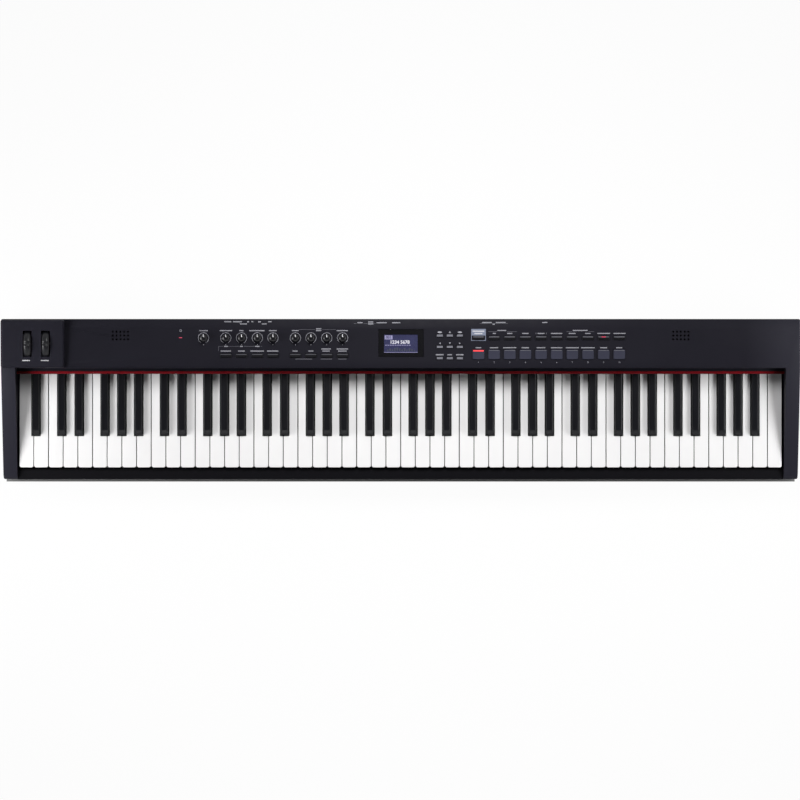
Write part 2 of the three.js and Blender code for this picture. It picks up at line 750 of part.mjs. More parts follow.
function makePanelBoard() {
  const boardZ = [boardTopZ - panelBoard.thickness, boardTopZ];
  const plate = block(
    boardEndShares.map(panelX),
    [panelFrontY + panelBoard.frontMargin, rearY - panelBoard.rearMargin],
    boardZ,
  );
  const standing = ([x, y], width, depth, topZ) =>
    block(around(x, width), around(y, depth), [boardTopZ, topZ]);
  const pots = knobShares.map((share) => {
    const place = [panelX(share), panelY(knobRowShare)];
    const boreRadius = (knob.shaftRadius + gap) / Math.cos(Math.PI / socketSides);
    const bore = rod(boreRadius, [potTopZ - pot.bore, potTopZ + overrun], "z", place, socketSides);
    return standing(place, pot.size, pot.size, potTopZ).subtract(bore);
  });
  const stripUnder = (places, width, topZ) => {
    const xs = places.map(([x]) => x);
    const ends = widened([Math.min(...xs), Math.max(...xs)], width / 2);
    return block(ends, around(places[0][1], contactStrip.depth), [boardTopZ, topZ]);
  };
  const switchTopZ = carrierTopZ - button.carrier - contactStrip.clearance;
  const sensorTopZ = carrierTopZ - padFlange.thickness - pad.travel - gap;
  const strips = [
    stripUnder(leftButtonPlaces, button.width, switchTopZ),
    stripUnder(rightButtonPlaces, button.width, switchTopZ),
    stripUnder(padPlaces, pad.width, sensorTopZ),
  ];
  const keypadBase = standing(
    [keypadX[1], keypadY[1]],
    2 * keypad.pitchX + keypad.width,
    2 * keypad.pitchY + keypad.depth,
    carrierTopZ - keypadMat.thickness - gap,
  );
  return joined([plate, ...pots, ...strips, keypadBase]);
}

// Speakers: oval frame, cone and magnet, hung below the panel
const speaker = { length: 115, margin: 2, height: 35 };
const speakerDepth = panelDepth - wall - caseShape.rearBevel - 2 * speaker.margin;
const speakerY = panelFrontY + wall + speaker.margin + speakerDepth / 2;
const speakerSides = 14;
const speakerProfileShares = [
  [0, -1],
  [0.42, -1],
  [0.42, -0.62],
  [0.5, -0.56],
  [0.9, -0.12],
  [1, -0.12],
  [1, 0],
  [0.9, 0],
  [0.34, -0.36],
  [0, -0.24],
];

function makeSpeaker() {
  const unit = turnedGeometry(speakerProfileShares, speakerSides);
  return solid(unit.scale(speaker.length / 2, speakerDepth / 2, speaker.height));
}

// Keybed and keys

const keyShape = { gap: 1, pivotDepth: 12, barWidth: 6, rodRadius: 2, bossDrop: 1.7, bossReach: 6 };
const blackPivotInset = 21;
const pivotSpacing = 13;
const blackPivotY = rearY - blackPivotInset;
const whitePivotY = blackPivotY - pivotSpacing;
const pivotZ = whiteTopZ - keyShape.pivotDepth;
const bossZ = pivotZ - keyShape.bossDrop;
const rodSides = 12;

const white = { height: 20, head: 50.6, nosing: 1.2, plate: 2.5, wall: 2, corner: 2, bossLead: 11 };
const whiteBottomZ = whiteTopZ - white.height;
const shoulderY = keyFrontY + white.head;

const black = {
  width: 13,
  topWidth: 10,
  noseRun: 9.1,
  height: 30,
  wall: 3,
  tailDrop: 6,
  tailStart: 10,
  reliefRise: 4,
  reliefLead: 9,
};
const blackNoseShares = [
  [0, 0],
  [0.17, 0.52],
  [0.43, 0.81],
  [1, 1],
];
const blackFrontY = shoulderY + keyShape.gap;
const blackBottomZ = blackTopZ - black.height;
const slotWidth = black.width + 2 * keyShape.gap;

// The white keys C D E and F G A B are two groups, each with tails of one width.
const stepNames = ["c", "d", "e", "f", "g", "a", "b"];
const firstStep = 5;
const stepsWithSharp = [0, 1, 3, 4, 5];
const playedOctave = 4;
const playedFirst = playedOctave * whitesPerOctave - firstStep;

function whiteKeyPlace(index) {
  const step = (index + firstStep) % whitesPerOctave;
  const [groupFirst, groupCount] = step < 3 ? [0, 3] : [3, 4];
  const octaveX = (index - step) * whitePitch - keyboardHalf;
  const groupX = octaveX + groupFirst * whitePitch;
  const span = groupCount * whitePitch - keyShape.gap - (groupCount - 1) * slotWidth;
  const tailWidth = span / groupCount;
  const tailX = groupX + keyShape.gap / 2 + (step - groupFirst) * (tailWidth + slotWidth);
  const headX = octaveX + step * whitePitch;
  const head = [headX + keyShape.gap / 2, headX + whitePitch - keyShape.gap / 2];
  const tail = [tailX, tailX + tailWidth];
  if (index === 0) tail[0] = head[0];
  if (index === whiteCount - 1) tail[1] = head[1];
  return { step, head, tail };
}

const whiteKeys = Array.from({ length: whiteCount }, (_, index) => {
  return { index, ...whiteKeyPlace(index) };
});
const blackKeys = whiteKeys
  .slice(0, -1)
  .filter(({ step }) => stepsWithSharp.includes(step))
  .map(({ index, step, tail }) => ({ index, step, x: (tail[1] + whiteKeys[index + 1].tail[0]) / 2 }));

// The outline seen from above: a wide head, and a tail between the black keys.
function whiteOutline({ head, tail }, rearEndY) {
  const front = [
    [head[0], keyFrontY],
    [head[1], keyFrontY],
  ];
  const right = tail[1] < head[1] ? [[head[1], shoulderY], [tail[1], shoulderY]] : [];
  const left = tail[0] > head[0] ? [[tail[0], shoulderY], [head[0], shoulderY]] : [];
  const outline = [...front, ...right, [tail[1], rearEndY], [tail[0], rearEndY], ...left];
  const radii = outline.map((_, i) => (i < front.length ? white.corner : 0));
  return rounded(outline, radii, 1);
}

// Keys that move are hollow shells with a bore; the others are solid and end in their bar.
function makeWhiteKey(key, moving) {
  const { head, tail } = key;
  const bossFrontY = whitePivotY - white.bossLead;
  const rearEndY = moving ? whitePivotY + keyShape.bossReach : whitePivotY;
  const inside = ([from, to]) => [from + white.wall, to - white.wall];
  const hollowZ = [whiteBottomZ - overrun, whiteTopZ - white.plate];
  const frontInnerY = keyFrontY + white.nosing + white.wall;
  const body = alongZ(whiteOutline(key, rearEndY), [whiteBottomZ, whiteTopZ]);
  const underNosing = block(
    widened(head, overrun),
    [keyFrontY - overrun, keyFrontY + white.nosing],
    [whiteBottomZ - overrun, whiteTopZ - white.plate],
  );
  const underBoss = block(
    widened(tail, overrun),
    [bossFrontY, rearEndY + overrun],
    [whiteBottomZ - overrun, bossZ],
  );
  if (!moving) return cut(body, [underNosing, underBoss]);
  const headHollow = block(inside(head), [frontInnerY, shoulderY - white.wall], hollowZ);
  const tailHollow = block(inside(tail), [frontInnerY, bossFrontY], hollowZ);
  return cut(body, [underNosing, underBoss, headHollow, tailHollow, hingeBore(tail, whitePivotY)]);
}

function makeBlackKey({ x }, moving) {
  const baseX = around(x, black.width);
  const topX = around(x, black.topWidth);
  const section = [
    [baseX[0], blackBottomZ],
    [baseX[1], blackBottomZ],
    [baseX[1], whiteTopZ],
    [topX[1], blackTopZ],
    [topX[0], blackTopZ],
    [baseX[0], whiteTopZ],
  ];
  const bossFrontY = blackPivotY - keyShape.bossReach;
  const reliefY = whitePivotY - black.reliefLead;
  const rearEndY = moving ? blackPivotY + keyShape.bossReach : blackPivotY;
  const tailY = panelFrontY + black.tailStart;
  const nose = blackNoseShares.map(([runShare, riseShare]) => [
    blackFrontY + runShare * black.noseRun,
    whiteTopZ + riseShare * blackRise,
  ]);
  const side = [
    [blackFrontY, blackBottomZ],
    [reliefY, blackBottomZ],
    [reliefY, pivotZ + black.reliefRise],
    [bossFrontY, pivotZ + black.reliefRise],
    [bossFrontY, bossZ],
    [rearEndY, bossZ],
    [rearEndY, blackTopZ - black.tailDrop],
    [tailY, blackTopZ],
    ...nose.reverse(),
  ];
  const width = around(x, black.width + overrun);
  const length = [blackFrontY - overrun, rearEndY + overrun];
  const body = alongY(section, length).intersect(alongX(side, width));
  if (!moving) return body;
  const hollow = block(
    around(x, black.width - 2 * black.wall),
    [blackFrontY + black.noseRun, reliefY - black.wall],
    [blackBottomZ - overrun, blackTopZ - black.wall],
  );
  return cut(body, [hollow, hingeBore(baseX, blackPivotY)]);
}

// A bore for the hinge rod, open below so that the key snaps on.
function hingeBore([from, to], pivotY) {
  const radius = keyShape.rodRadius + gap;
  return rod(radius, widened([from, to], overrun), "x", [pivotY, pivotZ], rodSides);
}

const playedStartX = playedFirst * whitePitch - keyboardHalf;
const playedX = [playedStartX, playedStartX + octaveSpan];
const playedMiddleX = playedStartX + octaveSpan / 2;

const bassBarX = [-keyboardHalf + keyShape.gap, playedX[0] - keyShape.gap / 2];
const trebleBarX = [playedX[1] + keyShape.gap / 2, keyboardHalf - keyShape.gap];
const bassRodX = [bassBarX[1] - keyShape.gap, playedMiddleX - gap / 2];
const trebleRodX = [playedMiddleX + gap / 2, trebleBarX[0] + keyShape.gap];

// Keys outside the played octave stand on one hinge bar, whose end is the round rod
// that carries half of the played octave.
function keysOnBar(keys, [barX, rodX], pivotY) {
  const bar = block(barX, around(pivotY, keyShape.barWidth), around(pivotZ, keyShape.barWidth));
  const hingeRod = rod(keyShape.rodRadius, rodX, "x", [pivotY, pivotZ], rodSides);
  return joined([bar, hingeRod, ...keys]);
}

const inBass = ({ index }) => index < playedFirst;
const inTreble = ({ index }) => index >= playedFirst + whitesPerOctave;
const inPlayed = (key) => !inBass(key) && !inTreble(key);

// Chassis: folded floor with a front guide rail, a stop rail and the hinge rail at the rear
const chassis = {
  sideInset: 4.5,
  plate: 3,
  frontY: 6.1,
  railWidth: 8,
  railDrop: 14,
  stopY: 66.1,
  hingeLead: 5,
  hingeTail: 3,
  postWidth: 4.4,
  postDepth: 4,
  whitePostRise: 20,
  blackPostRise: 28,
};
const contact = { frontY: 80.1, depth: 40, thickness: 1.6, below: 18.1, support: 3 };
const contactDome = { depth: 8, rise: 6.1 };
const contactTopZ = whiteBottomZ - contact.below;
const contactY = [keyFrontY + contact.frontY, keyFrontY + contact.frontY + contact.depth];

function makeChassis() {
  const spanX = around(0, 2 * (bayHalf - chassis.sideInset));
  const bottomZ = floorTopZ + gap;
  const plateZ = [bottomZ, bottomZ + chassis.plate];
  const railTop = whiteBottomZ - chassis.railDrop;
  const hingeTop = pivotZ - keyShape.barWidth / 2 - gap;
  const hingeY = [whitePivotY - chassis.hingeLead, blackPivotY + chassis.hingeTail];
  const frontRailY = [keyFrontY + chassis.frontY, keyFrontY + chassis.frontY + chassis.railWidth];
  const stopRailY = [keyFrontY + chassis.stopY, keyFrontY + chassis.stopY + chassis.railWidth];
  const supportTop = contactTopZ - contact.thickness - gap;
  const base = block(spanX, [frontRailY[0], hingeY[1]], plateZ);
  const upright = (y, topZ) => block(spanX, y, [bottomZ, topZ]);
  const supports = [
    [contactY[0], contactY[0] + contact.support],
    [contactY[1] - contact.support, contactY[1]],
  ];
  const hingeRail = upright(hingeY, hingeTop).subtract(
    block(
      widened(spanX, overrun),
      [hingeY[0] + chassis.plate, hingeY[1] - chassis.plate],
      [plateZ[1], hingeTop - chassis.plate],
    ),
  );
  const posts = whiteKeys.filter(inPlayed).map(({ tail }) =>
    block(
      around((tail[0] + tail[1]) / 2, chassis.postWidth),
      around((frontRailY[0] + frontRailY[1]) / 2, chassis.postDepth),
      [railTop - chassis.plate, railTop + chassis.whitePostRise],
    ),
  );
  const blackPosts = blackKeys.filter(inPlayed).map(({ x }) =>
    block(
      around(x, chassis.postWidth),
      around((stopRailY[0] + stopRailY[1]) / 2, chassis.postDepth),
      [railTop - chassis.plate, railTop + chassis.blackPostRise],
    ),
  );
  return joined([
    base,
    upright(frontRailY, railTop),
    upright(stopRailY, railTop),
    ...supports.map((y) => upright(y, supportTop)),
    hingeRail,
    ...posts,
    ...blackPosts,
  ]);
}

function makeContactBoard() {
  const spanX = around(0, 2 * (keyboardHalf - keyShape.gap));
  const plate = block(spanX, contactY, [contactTopZ - contact.thickness, contactTopZ]);
  const middleY = (contactY[0] + contactY[1]) / 2;
  const domes = block(
    spanX,
    around(middleY, contactDome.depth),
    [contactTopZ, contactTopZ + contactDome.rise],
  );
  return plate.add(domes);
}

// Assembly

function mesh(name, body, material, place = [0, 0, 0]) {
  const piece = new THREE.Mesh(body.isBufferGeometry ? body : geometryOf(body), material);
  piece.name = name;
  piece.position.set(...place);
  return piece;
}

// A key's mesh has its origin on its own hinge line.
function keyMesh(name, body, material, x, pivotY) {
  const place = [x, pivotY, pivotZ];
  return mesh(name, geometryOf(body).translate(-x, -pivotY, -pivotZ), material, place);
}

function assemble(...pieces) {
  const group = new THREE.Group();
  group.add(...pieces);
  return group;
}

const footGeometry = geometryOf(makeFoot());
const caseGroup = assemble(
  mesh("bottom_case", makeBottomCase(), caseFinish),
  mesh("top_case", makeTopCase(), caseFinish),
  mesh("front_rail", makeFrontRail(), railFinish),
  mesh("wheel_pod", makeWheelPod(), caseFinish),
  mesh("felt_strip", makeFelt(), feltFinish),
  ...Object.entries(footPlaces).map(([name, [x, y]]) =>
    mesh(name, footGeometry, rubberFinish, [x, y, 0]),
  ),
);

const wheelGeometry = geometryOf(makeWheel());
const wheelGroup = assemble(
  mesh("wheel_bracket", makeWheelBracket(), platedFinish),
  ...Object.entries(wheelXs).map(([name, x]) =>
    mesh(name, wheelGeometry, controlFinish, [x, wheelY, wheelZ]),
  ),
);

const knobNames = [
  "knob_volume",
  "knob_zone_1",
  "knob_zone_2",
  "knob_zone_3",
  "knob_zone_4",
  "knob_tone_1",
  "knob_tone_2",
  "knob_tone_3",
  "knob_tone_4",
];
const knobGeometry = geometryOf(makeKnob());
const padGeometry = geometryOf(makePad());
const speakerGeometry = geometryOf(makeSpeaker());
const speakerPlace = (x) => [x, speakerY, panelUnderZ - gap];
const panelGroup = assemble(
  mesh("panel_board", makePanelBoard(), boardFinish),
  mesh("display_window", makeDisplayWindow(), glassFinish),
  mesh("lcd_module", makeLcdModule(), screenFinish),
  mesh("function_buttons_left", makeButtonRow(leftButtonPlaces), controlFinish),
  mesh("function_buttons_right", makeButtonRow(rightButtonPlaces), controlFinish),
  mesh("cursor_keypad", makeKeypad(), capFinish),
  mesh("speaker_left", speakerGeometry, coneFinish, speakerPlace(-panelX(speakerShare))),
  mesh("speaker_right", speakerGeometry, coneFinish, speakerPlace(panelX(speakerShare))),
  ...knobNames.map((name, i) => {
    const place = [panelX(knobShares[i]), panelY(knobRowShare), knobBottomZ];
    return mesh(name, knobGeometry, controlFinish, place);
  }),
  ...padPlaces.map(([x, y], i) =>
    mesh(`pad_${i + 1}`, padGeometry, padFinish, [x, y, panelTopZ]),
  ),
);

const powerSwitch = mesh("power_switch", makeRocker(), controlFinish, [rockerX, rockerY, socketZ]);
powerSwitch.rotation.x = rockerTilt;
const rearGroup = assemble(
  mesh("main_board", makeMainBoard(), boardFinish),
  mesh("rear_jack_panel", makeRearJackPanel(), platedFinish),
  powerSwitch,
);

function fixedWhites(name, side, lengths) {
  const keys = whiteKeys.filter(side).map((key) => makeWhiteKey(key, false));
  return mesh(name, keysOnBar(keys, lengths, whitePivotY), whiteFinish);
}

function fixedBlacks(name, side, lengths) {
  const keys = blackKeys.filter(side).map((key) => makeBlackKey(key, false));
  return mesh(name, keysOnBar(keys, lengths, blackPivotY), blackFinish);
}

const playedWhites = whiteKeys.filter(inPlayed).map((key) => {
  const name = `key_${stepNames[key.step]}${playedOctave}`;
  const middleX = (key.tail[0] + key.tail[1]) / 2;
  return keyMesh(name, makeWhiteKey(key, true), whiteFinish, middleX, whitePivotY);
});
const playedBlacks = blackKeys.filter(inPlayed).map((key) => {
  const name = `key_${stepNames[key.step]}_sharp${playedOctave}`;
  return keyMesh(name, makeBlackKey(key, true), blackFinish, key.x, blackPivotY);
});
const keybedGroup = assemble(
  mesh("keybed_chassis", makeChassis(), steelFinish),
  mesh("key_contact_board", makeContactBoard(), boardFinish),
  fixedWhites("white_keys_bass", inBass, [bassBarX, bassRodX]),
  fixedWhites("white_keys_treble", inTreble, [trebleBarX, trebleRodX]),
  fixedBlacks("black_keys_bass", inBass, [bassBarX, bassRodX]),
  fixedBlacks("black_keys_treble", inTreble, [trebleBarX, trebleRodX]),
  ...playedWhites,
  ...playedBlacks,
);

const stagePiano = assemble(caseGroup, wheelGroup, panelGroup, rearGroup, keybedGroup);

export default stagePiano;
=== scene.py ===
import json
import math

import bmesh
import bpy
from mathutils import Matrix, Vector


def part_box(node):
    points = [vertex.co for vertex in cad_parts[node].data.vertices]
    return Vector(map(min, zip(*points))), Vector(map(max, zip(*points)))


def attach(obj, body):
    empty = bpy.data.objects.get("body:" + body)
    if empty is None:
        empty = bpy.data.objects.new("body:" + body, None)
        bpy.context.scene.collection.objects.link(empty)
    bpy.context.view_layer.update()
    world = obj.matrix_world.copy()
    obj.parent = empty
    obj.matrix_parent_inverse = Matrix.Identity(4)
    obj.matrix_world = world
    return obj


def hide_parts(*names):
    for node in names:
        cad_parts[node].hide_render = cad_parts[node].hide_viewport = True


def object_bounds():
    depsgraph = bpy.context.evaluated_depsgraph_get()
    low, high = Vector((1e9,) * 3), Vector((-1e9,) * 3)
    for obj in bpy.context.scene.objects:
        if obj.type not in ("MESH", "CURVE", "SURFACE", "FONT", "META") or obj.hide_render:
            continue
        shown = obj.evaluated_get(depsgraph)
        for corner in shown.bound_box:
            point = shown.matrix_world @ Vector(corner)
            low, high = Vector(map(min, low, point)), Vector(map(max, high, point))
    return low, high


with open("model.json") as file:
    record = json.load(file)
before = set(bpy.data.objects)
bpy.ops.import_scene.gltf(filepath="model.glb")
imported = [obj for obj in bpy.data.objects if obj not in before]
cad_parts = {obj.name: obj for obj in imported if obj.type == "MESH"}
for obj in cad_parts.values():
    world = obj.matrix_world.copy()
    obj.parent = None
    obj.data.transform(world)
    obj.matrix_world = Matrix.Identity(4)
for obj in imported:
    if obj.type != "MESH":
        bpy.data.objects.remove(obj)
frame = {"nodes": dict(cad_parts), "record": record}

cad_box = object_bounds()

# Lengths of pieces are millimetres and become metres when a mesh is made.
# The camera, the floor, the lamps and the places in materials are in metres.
MM = 0.001
# Corners nearer to each other than this, in metres, are one.
WELD = 1e-7


# Finishes

class Finish:
    """A material under construction: a Principled shader and the nodes that feed it."""

    def __init__(self, name, stretch=(1, 1, 1)):
        self.material = bpy.data.materials.new(name)
        self.material.use_nodes = True
        self.tree = self.material.node_tree
        self.shader = self.tree.nodes["Principled BSDF"]
        place = self.tree.nodes.new("ShaderNodeTexCoord")
        mapping = self.tree.nodes.new("ShaderNodeMapping")
        mapping.inputs["Scale"].default_value = stretch
        self.link(place.outputs["Object"], mapping.inputs["Vector"])
        self.place = mapping.outputs["Vector"]

    def link(self, source, target):
        self.tree.links.new(source, target)

    def set(self, **values):
        for name, value in values.items():
            self.shader.inputs[name.replace("_", " ")].default_value = value
        return self

    def noise(self, size, detail=2.0, roughness=0.5):
        """A noise whose spots are about that many millimetres across."""
        node = self.tree.nodes.new("ShaderNodeTexNoise")
        node.inputs["Scale"].default_value = 1 / (size * MM)
        node.inputs["Detail"].default_value = detail
        node.inputs["Roughness"].default_value = roughness
        self.link(self.place, node.inputs["Vector"])
        return node.outputs["Fac"]

    def between(self, source, low, high, start=0.3, end=0.7):
        node = self.tree.nodes.new("ShaderNodeMapRange")
        node.inputs["From Min"].default_value = start
        node.inputs["From Max"].default_value = end
        node.inputs["To Min"].default_value = low
        node.inputs["To Max"].default_value = high
        self.link(source, node.inputs["Value"])
        return node.outputs["Result"]

    def colours(self, source, first, second):
        node = self.tree.nodes.new("ShaderNodeMix")
        node.data_type = "RGBA"
        node.inputs["A"].default_value = (*first, 1)
        node.inputs["B"].default_value = (*second, 1)
        self.link(source, node.inputs["Factor"])
        self.link(node.outputs["Result"], self.shader.inputs["Base Color"])
        return self

    def blotches(self, colour, size, amount):
        darker = [value * (1 - amount) for value in colour]
        lighter = [value * (1 + amount) for value in colour]
        return self.colours(self.between(self.noise(size), 0, 1), darker, lighter)

    def gloss(self, size, low, high):
        self.link(self.between(self.noise(size), low, high), self.shader.inputs["Roughness"])
        return self

    def size_along(self, vector, axis):
        """The size of a vector's part along an axis, whatever its sign."""
        parts = self.tree.nodes.new("ShaderNodeSeparateXYZ")
        size = self.tree.nodes.new("ShaderNodeMath")
        size.operation = "ABSOLUTE"
        self.link(vector, parts.inputs["Vector"])
        self.link(parts.outputs[axis], size.inputs[0])
        return size.outputs[0]

    def facing(self, axis):
        """How far a surface faces along an axis, either way."""
        return self.size_along(self.tree.nodes.new("ShaderNodeNewGeometry").outputs["Normal"], axis)

    def matt_sides(self, flat, side):
        """Roughness that goes from one value on faces that look up to another on steep ones."""
        roughness = self.between(self.facing("Z"), side, flat, 0.45, 0.85)
        self.link(roughness, self.shader.inputs["Roughness"])
        return self

    def second_colour(self, colour, share):
        """Another colour, mixed in where the share is above zero."""
        node = self.tree.nodes.new("ShaderNodeMix")
        node.data_type = "RGBA"
        self.link(self.shader.inputs["Base Color"].links[0].from_socket, node.inputs["A"])
        node.inputs["B"].default_value = (*colour, 1)
        self.link(share, node.inputs["Factor"])
        self.link(node.outputs["Result"], self.shader.inputs["Base Color"])
        return self

    def side_colour(self, colour):
        """Painted shade: another colour on the faces that look left and right."""
        return self.second_colour(colour, self.between(self.facing("X"), 0, 1, 0.4, 0.8))

    def bump(self, size, depth, strength=1.0, detail=3.0):
        node = self.tree.nodes.new("ShaderNodeBump")
        node.inputs["Distance"].default_value = depth * MM
        node.inputs["Strength"].default_value = strength
        self.link(self.noise(size, detail), node.inputs["Height"])
        self.link(node.outputs["Normal"], self.shader.inputs["Normal"])
        return self


def plastic(name, colour, roughness, specular=0.5, grain=0.35, depth=0.02, stretch=(1, 1, 1)):
    """Moulded plastic: a fine grain in the mould, slow changes of colour and gloss."""
    finish = Finish(name, stretch).set(Specular_IOR_Level=specular)
    finish.blotches(colour, 60, 0.05).gloss(9, roughness * 0.92, roughness * 1.08)
    return finish.bump(grain, depth).material


def glowing(name, colour, strength, size=4, amount=0.12):
    """A lit surface, with blotches of a size in millimetres."""
    finish = Finish(name).blotches(colour, size, amount).gloss(size, 0.35, 0.5)
    return finish.set(Emission_Color=(*colour, 1), Emission_Strength=strength).material


def metal(name, colour, roughness):
    finish = Finish(name).set(Metallic=1.0)
    finish.blotches(colour, 14, 0.06).gloss(3, roughness * 0.8, roughness * 1.25)
    return finish.bump(0.6, 0.01).material


# How far from the middle the case's painted highlight on its ends starts and is complete, in metres.
PAINTED_LIGHT_ENDS = (0.555, 0.618)
# The main board's sockets start here along Y, in metres.
SOCKETS_START = 0.106


def case_finish():
    """The upper case's plastic, a little paler on the cheeks as a painted highlight."""
    finish = Finish("case_plastic").set(Specular_IOR_Level=0.07)
    finish.blotches((0.0100, 0.0095, 0.0147), 60, 0.05).gloss(9, 0.46, 0.54)
    lit_ends = finish.between(finish.size_along(finish.place, "X"), 0, 1, *PAINTED_LIGHT_ENDS)
    # Painted highlight: the paler colour near the ends stands for brighter light there.
    return finish.second_colour((0.0190, 0.0185, 0.0265), lit_ends).bump(0.45, 0.02).material


case_plastic = case_finish()
lower_plastic = plastic("lower_plastic", (0.009, 0.009, 0.0125), 0.62, specular=0.15, grain=0.6)
pod_plastic = plastic("pod_plastic", (0.0115, 0.011, 0.0172), 0.5, specular=0.09, grain=0.45)
rail_plastic = plastic("rail_plastic", (0.0042, 0.0040, 0.0054), 0.5, specular=0.05, stretch=(0.04, 1, 1))
knob_plastic = plastic("knob_plastic", (0.004, 0.004, 0.006), 0.2, specular=0.42, depth=0.004)
button_plastic = plastic("button_plastic", (0.0038, 0.0038, 0.0055), 0.45, specular=0.1)
cap_top_plastic = plastic("cap_top_plastic", (0.16, 0.16, 0.19), 0.5, specular=0.3)
pad_rubber = plastic("pad_rubber", (0.033, 0.034, 0.054), 0.66, specular=0.12, grain=0.5, depth=0.03)
wheel_rubber = plastic("wheel_rubber", (0.0055, 0.0055, 0.0075), 0.3, specular=0.34, grain=0.5)
foot_rubber = plastic("foot_rubber", (0.012, 0.012, 0.012), 0.8, specular=0.2, grain=0.8, depth=0.06)
plate_paint = plastic("plate_paint", (0.013, 0.013, 0.015), 0.4, specular=0.35, grain=0.3)
socket_plastic = plastic("socket_plastic", (0.01, 0.01, 0.011), 0.35, specular=0.4)
print_grey = plastic("print_grey", (0.35, 0.35, 0.39), 0.6, specular=0.2)
print_white = plastic("print_white", (0.66, 0.66, 0.68), 0.6, specular=0.2)
print_dim = plastic("print_dim", (0.11, 0.11, 0.13), 0.6, specular=0.2)
print_blue = plastic("print_blue", (0.19, 0.215, 0.29), 0.55, specular=0.2)
strip_lens = plastic("strip_lens", (0.105, 0.105, 0.125), 0.4, specular=0.35)
dark_lens = plastic("dark_lens", (0.055, 0.055, 0.066), 0.4, specular=0.3)
steel = metal("steel", (0.55, 0.55, 0.57), 0.34)
chassis_paint = plastic("chassis_paint", (0.012, 0.012, 0.013), 0.5, specular=0.2, grain=0.6)
screw_black = metal("screw_black", (0.06, 0.06, 0.065), 0.38)
nickel = metal("nickel", (0.62, 0.60, 0.57), 0.22)
led_red = glowing("led_red", (0.78, 0.03, 0.035), 0.8)
led_red_dim = glowing("led_red_dim", (0.42, 0.03, 0.07), 0.6)
lcd_blue = glowing("lcd_blue", (0.055, 0.058, 0.17), 0.52, size=1.2, amount=0.35)
lcd_light = glowing("lcd_light", (0.42, 0.40, 0.66), 1.0)
lcd_white = glowing("lcd_white", (0.86, 0.86, 0.95), 1.25)


def white_key_finish():
    finish = Finish("white_key_plastic")
    finish.blotches((0.82, 0.812, 0.815), 45, 0.012).gloss(16, 0.17, 0.25)
    # Painted shade: the keys' left and right faces are darker, for the shade in the gaps between keys.
    finish.side_colour((0.34, 0.335, 0.33)).bump(5, 0.01, detail=1.0)
    return finish.set(Specular_IOR_Level=0.45, Coat_Weight=0.25, Coat_Roughness=0.12).material


def black_key_finish():
    """Satin black with the fine long grain that keeps fingers from slipping, matt on its sides."""
    finish = Finish("black_key_plastic", stretch=(1, 0.06, 1))
    finish.blotches((0.0048, 0.0049, 0.0068), 2.5, 0.25).matt_sides(0.2, 0.95)
    return finish.bump(0.5, 0.006, detail=4.0).set(Specular_IOR_Level=0.32).material


def board_finish(name, sockets_start=None):
    """Green solder mask, and the sockets' dark plastic from a place along Y when one is given."""
    finish = Finish(name).blotches((0.012, 0.075, 0.03), 60, 0.05).gloss(9, 0.32, 0.38)
    if sockets_start is not None:
        along = finish.size_along(finish.place, "Y")
        share = finish.between(along, 0, 1, sockets_start, sockets_start + MM)
        finish.second_colour((0.008, 0.008, 0.009), share)
    return finish.bump(1.5, 0.02).material


def felt_finish():
    finish = Finish("felt_wool")
    wool = finish.between(finish.noise(0.9, 4.0, 0.7), 0, 1)
    finish.colours(wool, (0.12, 0.003, 0.006), (0.25, 0.006, 0.012))
    finish.gloss(3, 0.9, 1.0).bump(0.35, 0.25, 0.9, 5.0)
    finish.set(Specular_IOR_Level=0.1, Sheen_Weight=0.35, Sheen_Roughness=0.5)
    return finish.set(Sheen_Tint=(0.9, 0.25, 0.25, 1)).material


def window_finish():
    """Dark acrylic: see-through enough for the screen behind it."""
    finish = Finish("window_acrylic").blotches((0.004, 0.004, 0.005), 30, 0.1).gloss(20, 0.06, 0.1)
    return finish.set(Specular_IOR_Level=0.3, Alpha=0.3).material


def cone_finish():
    finish = Finish("cone_paper").blotches((0.008, 0.008, 0.009), 6, 0.2).gloss(2, 0.8, 0.95)
    return finish.bump(0.8, 0.08).set(Specular_IOR_Level=0.15).material


white_key = white_key_finish()
black_key = black_key_finish()
board_mask = board_finish("board_mask")
socket_board = board_finish("socket_board", SOCKETS_START)
felt_wool = felt_finish()
window_acrylic = window_finish()
cone_paper = cone_finish()


# Meshes

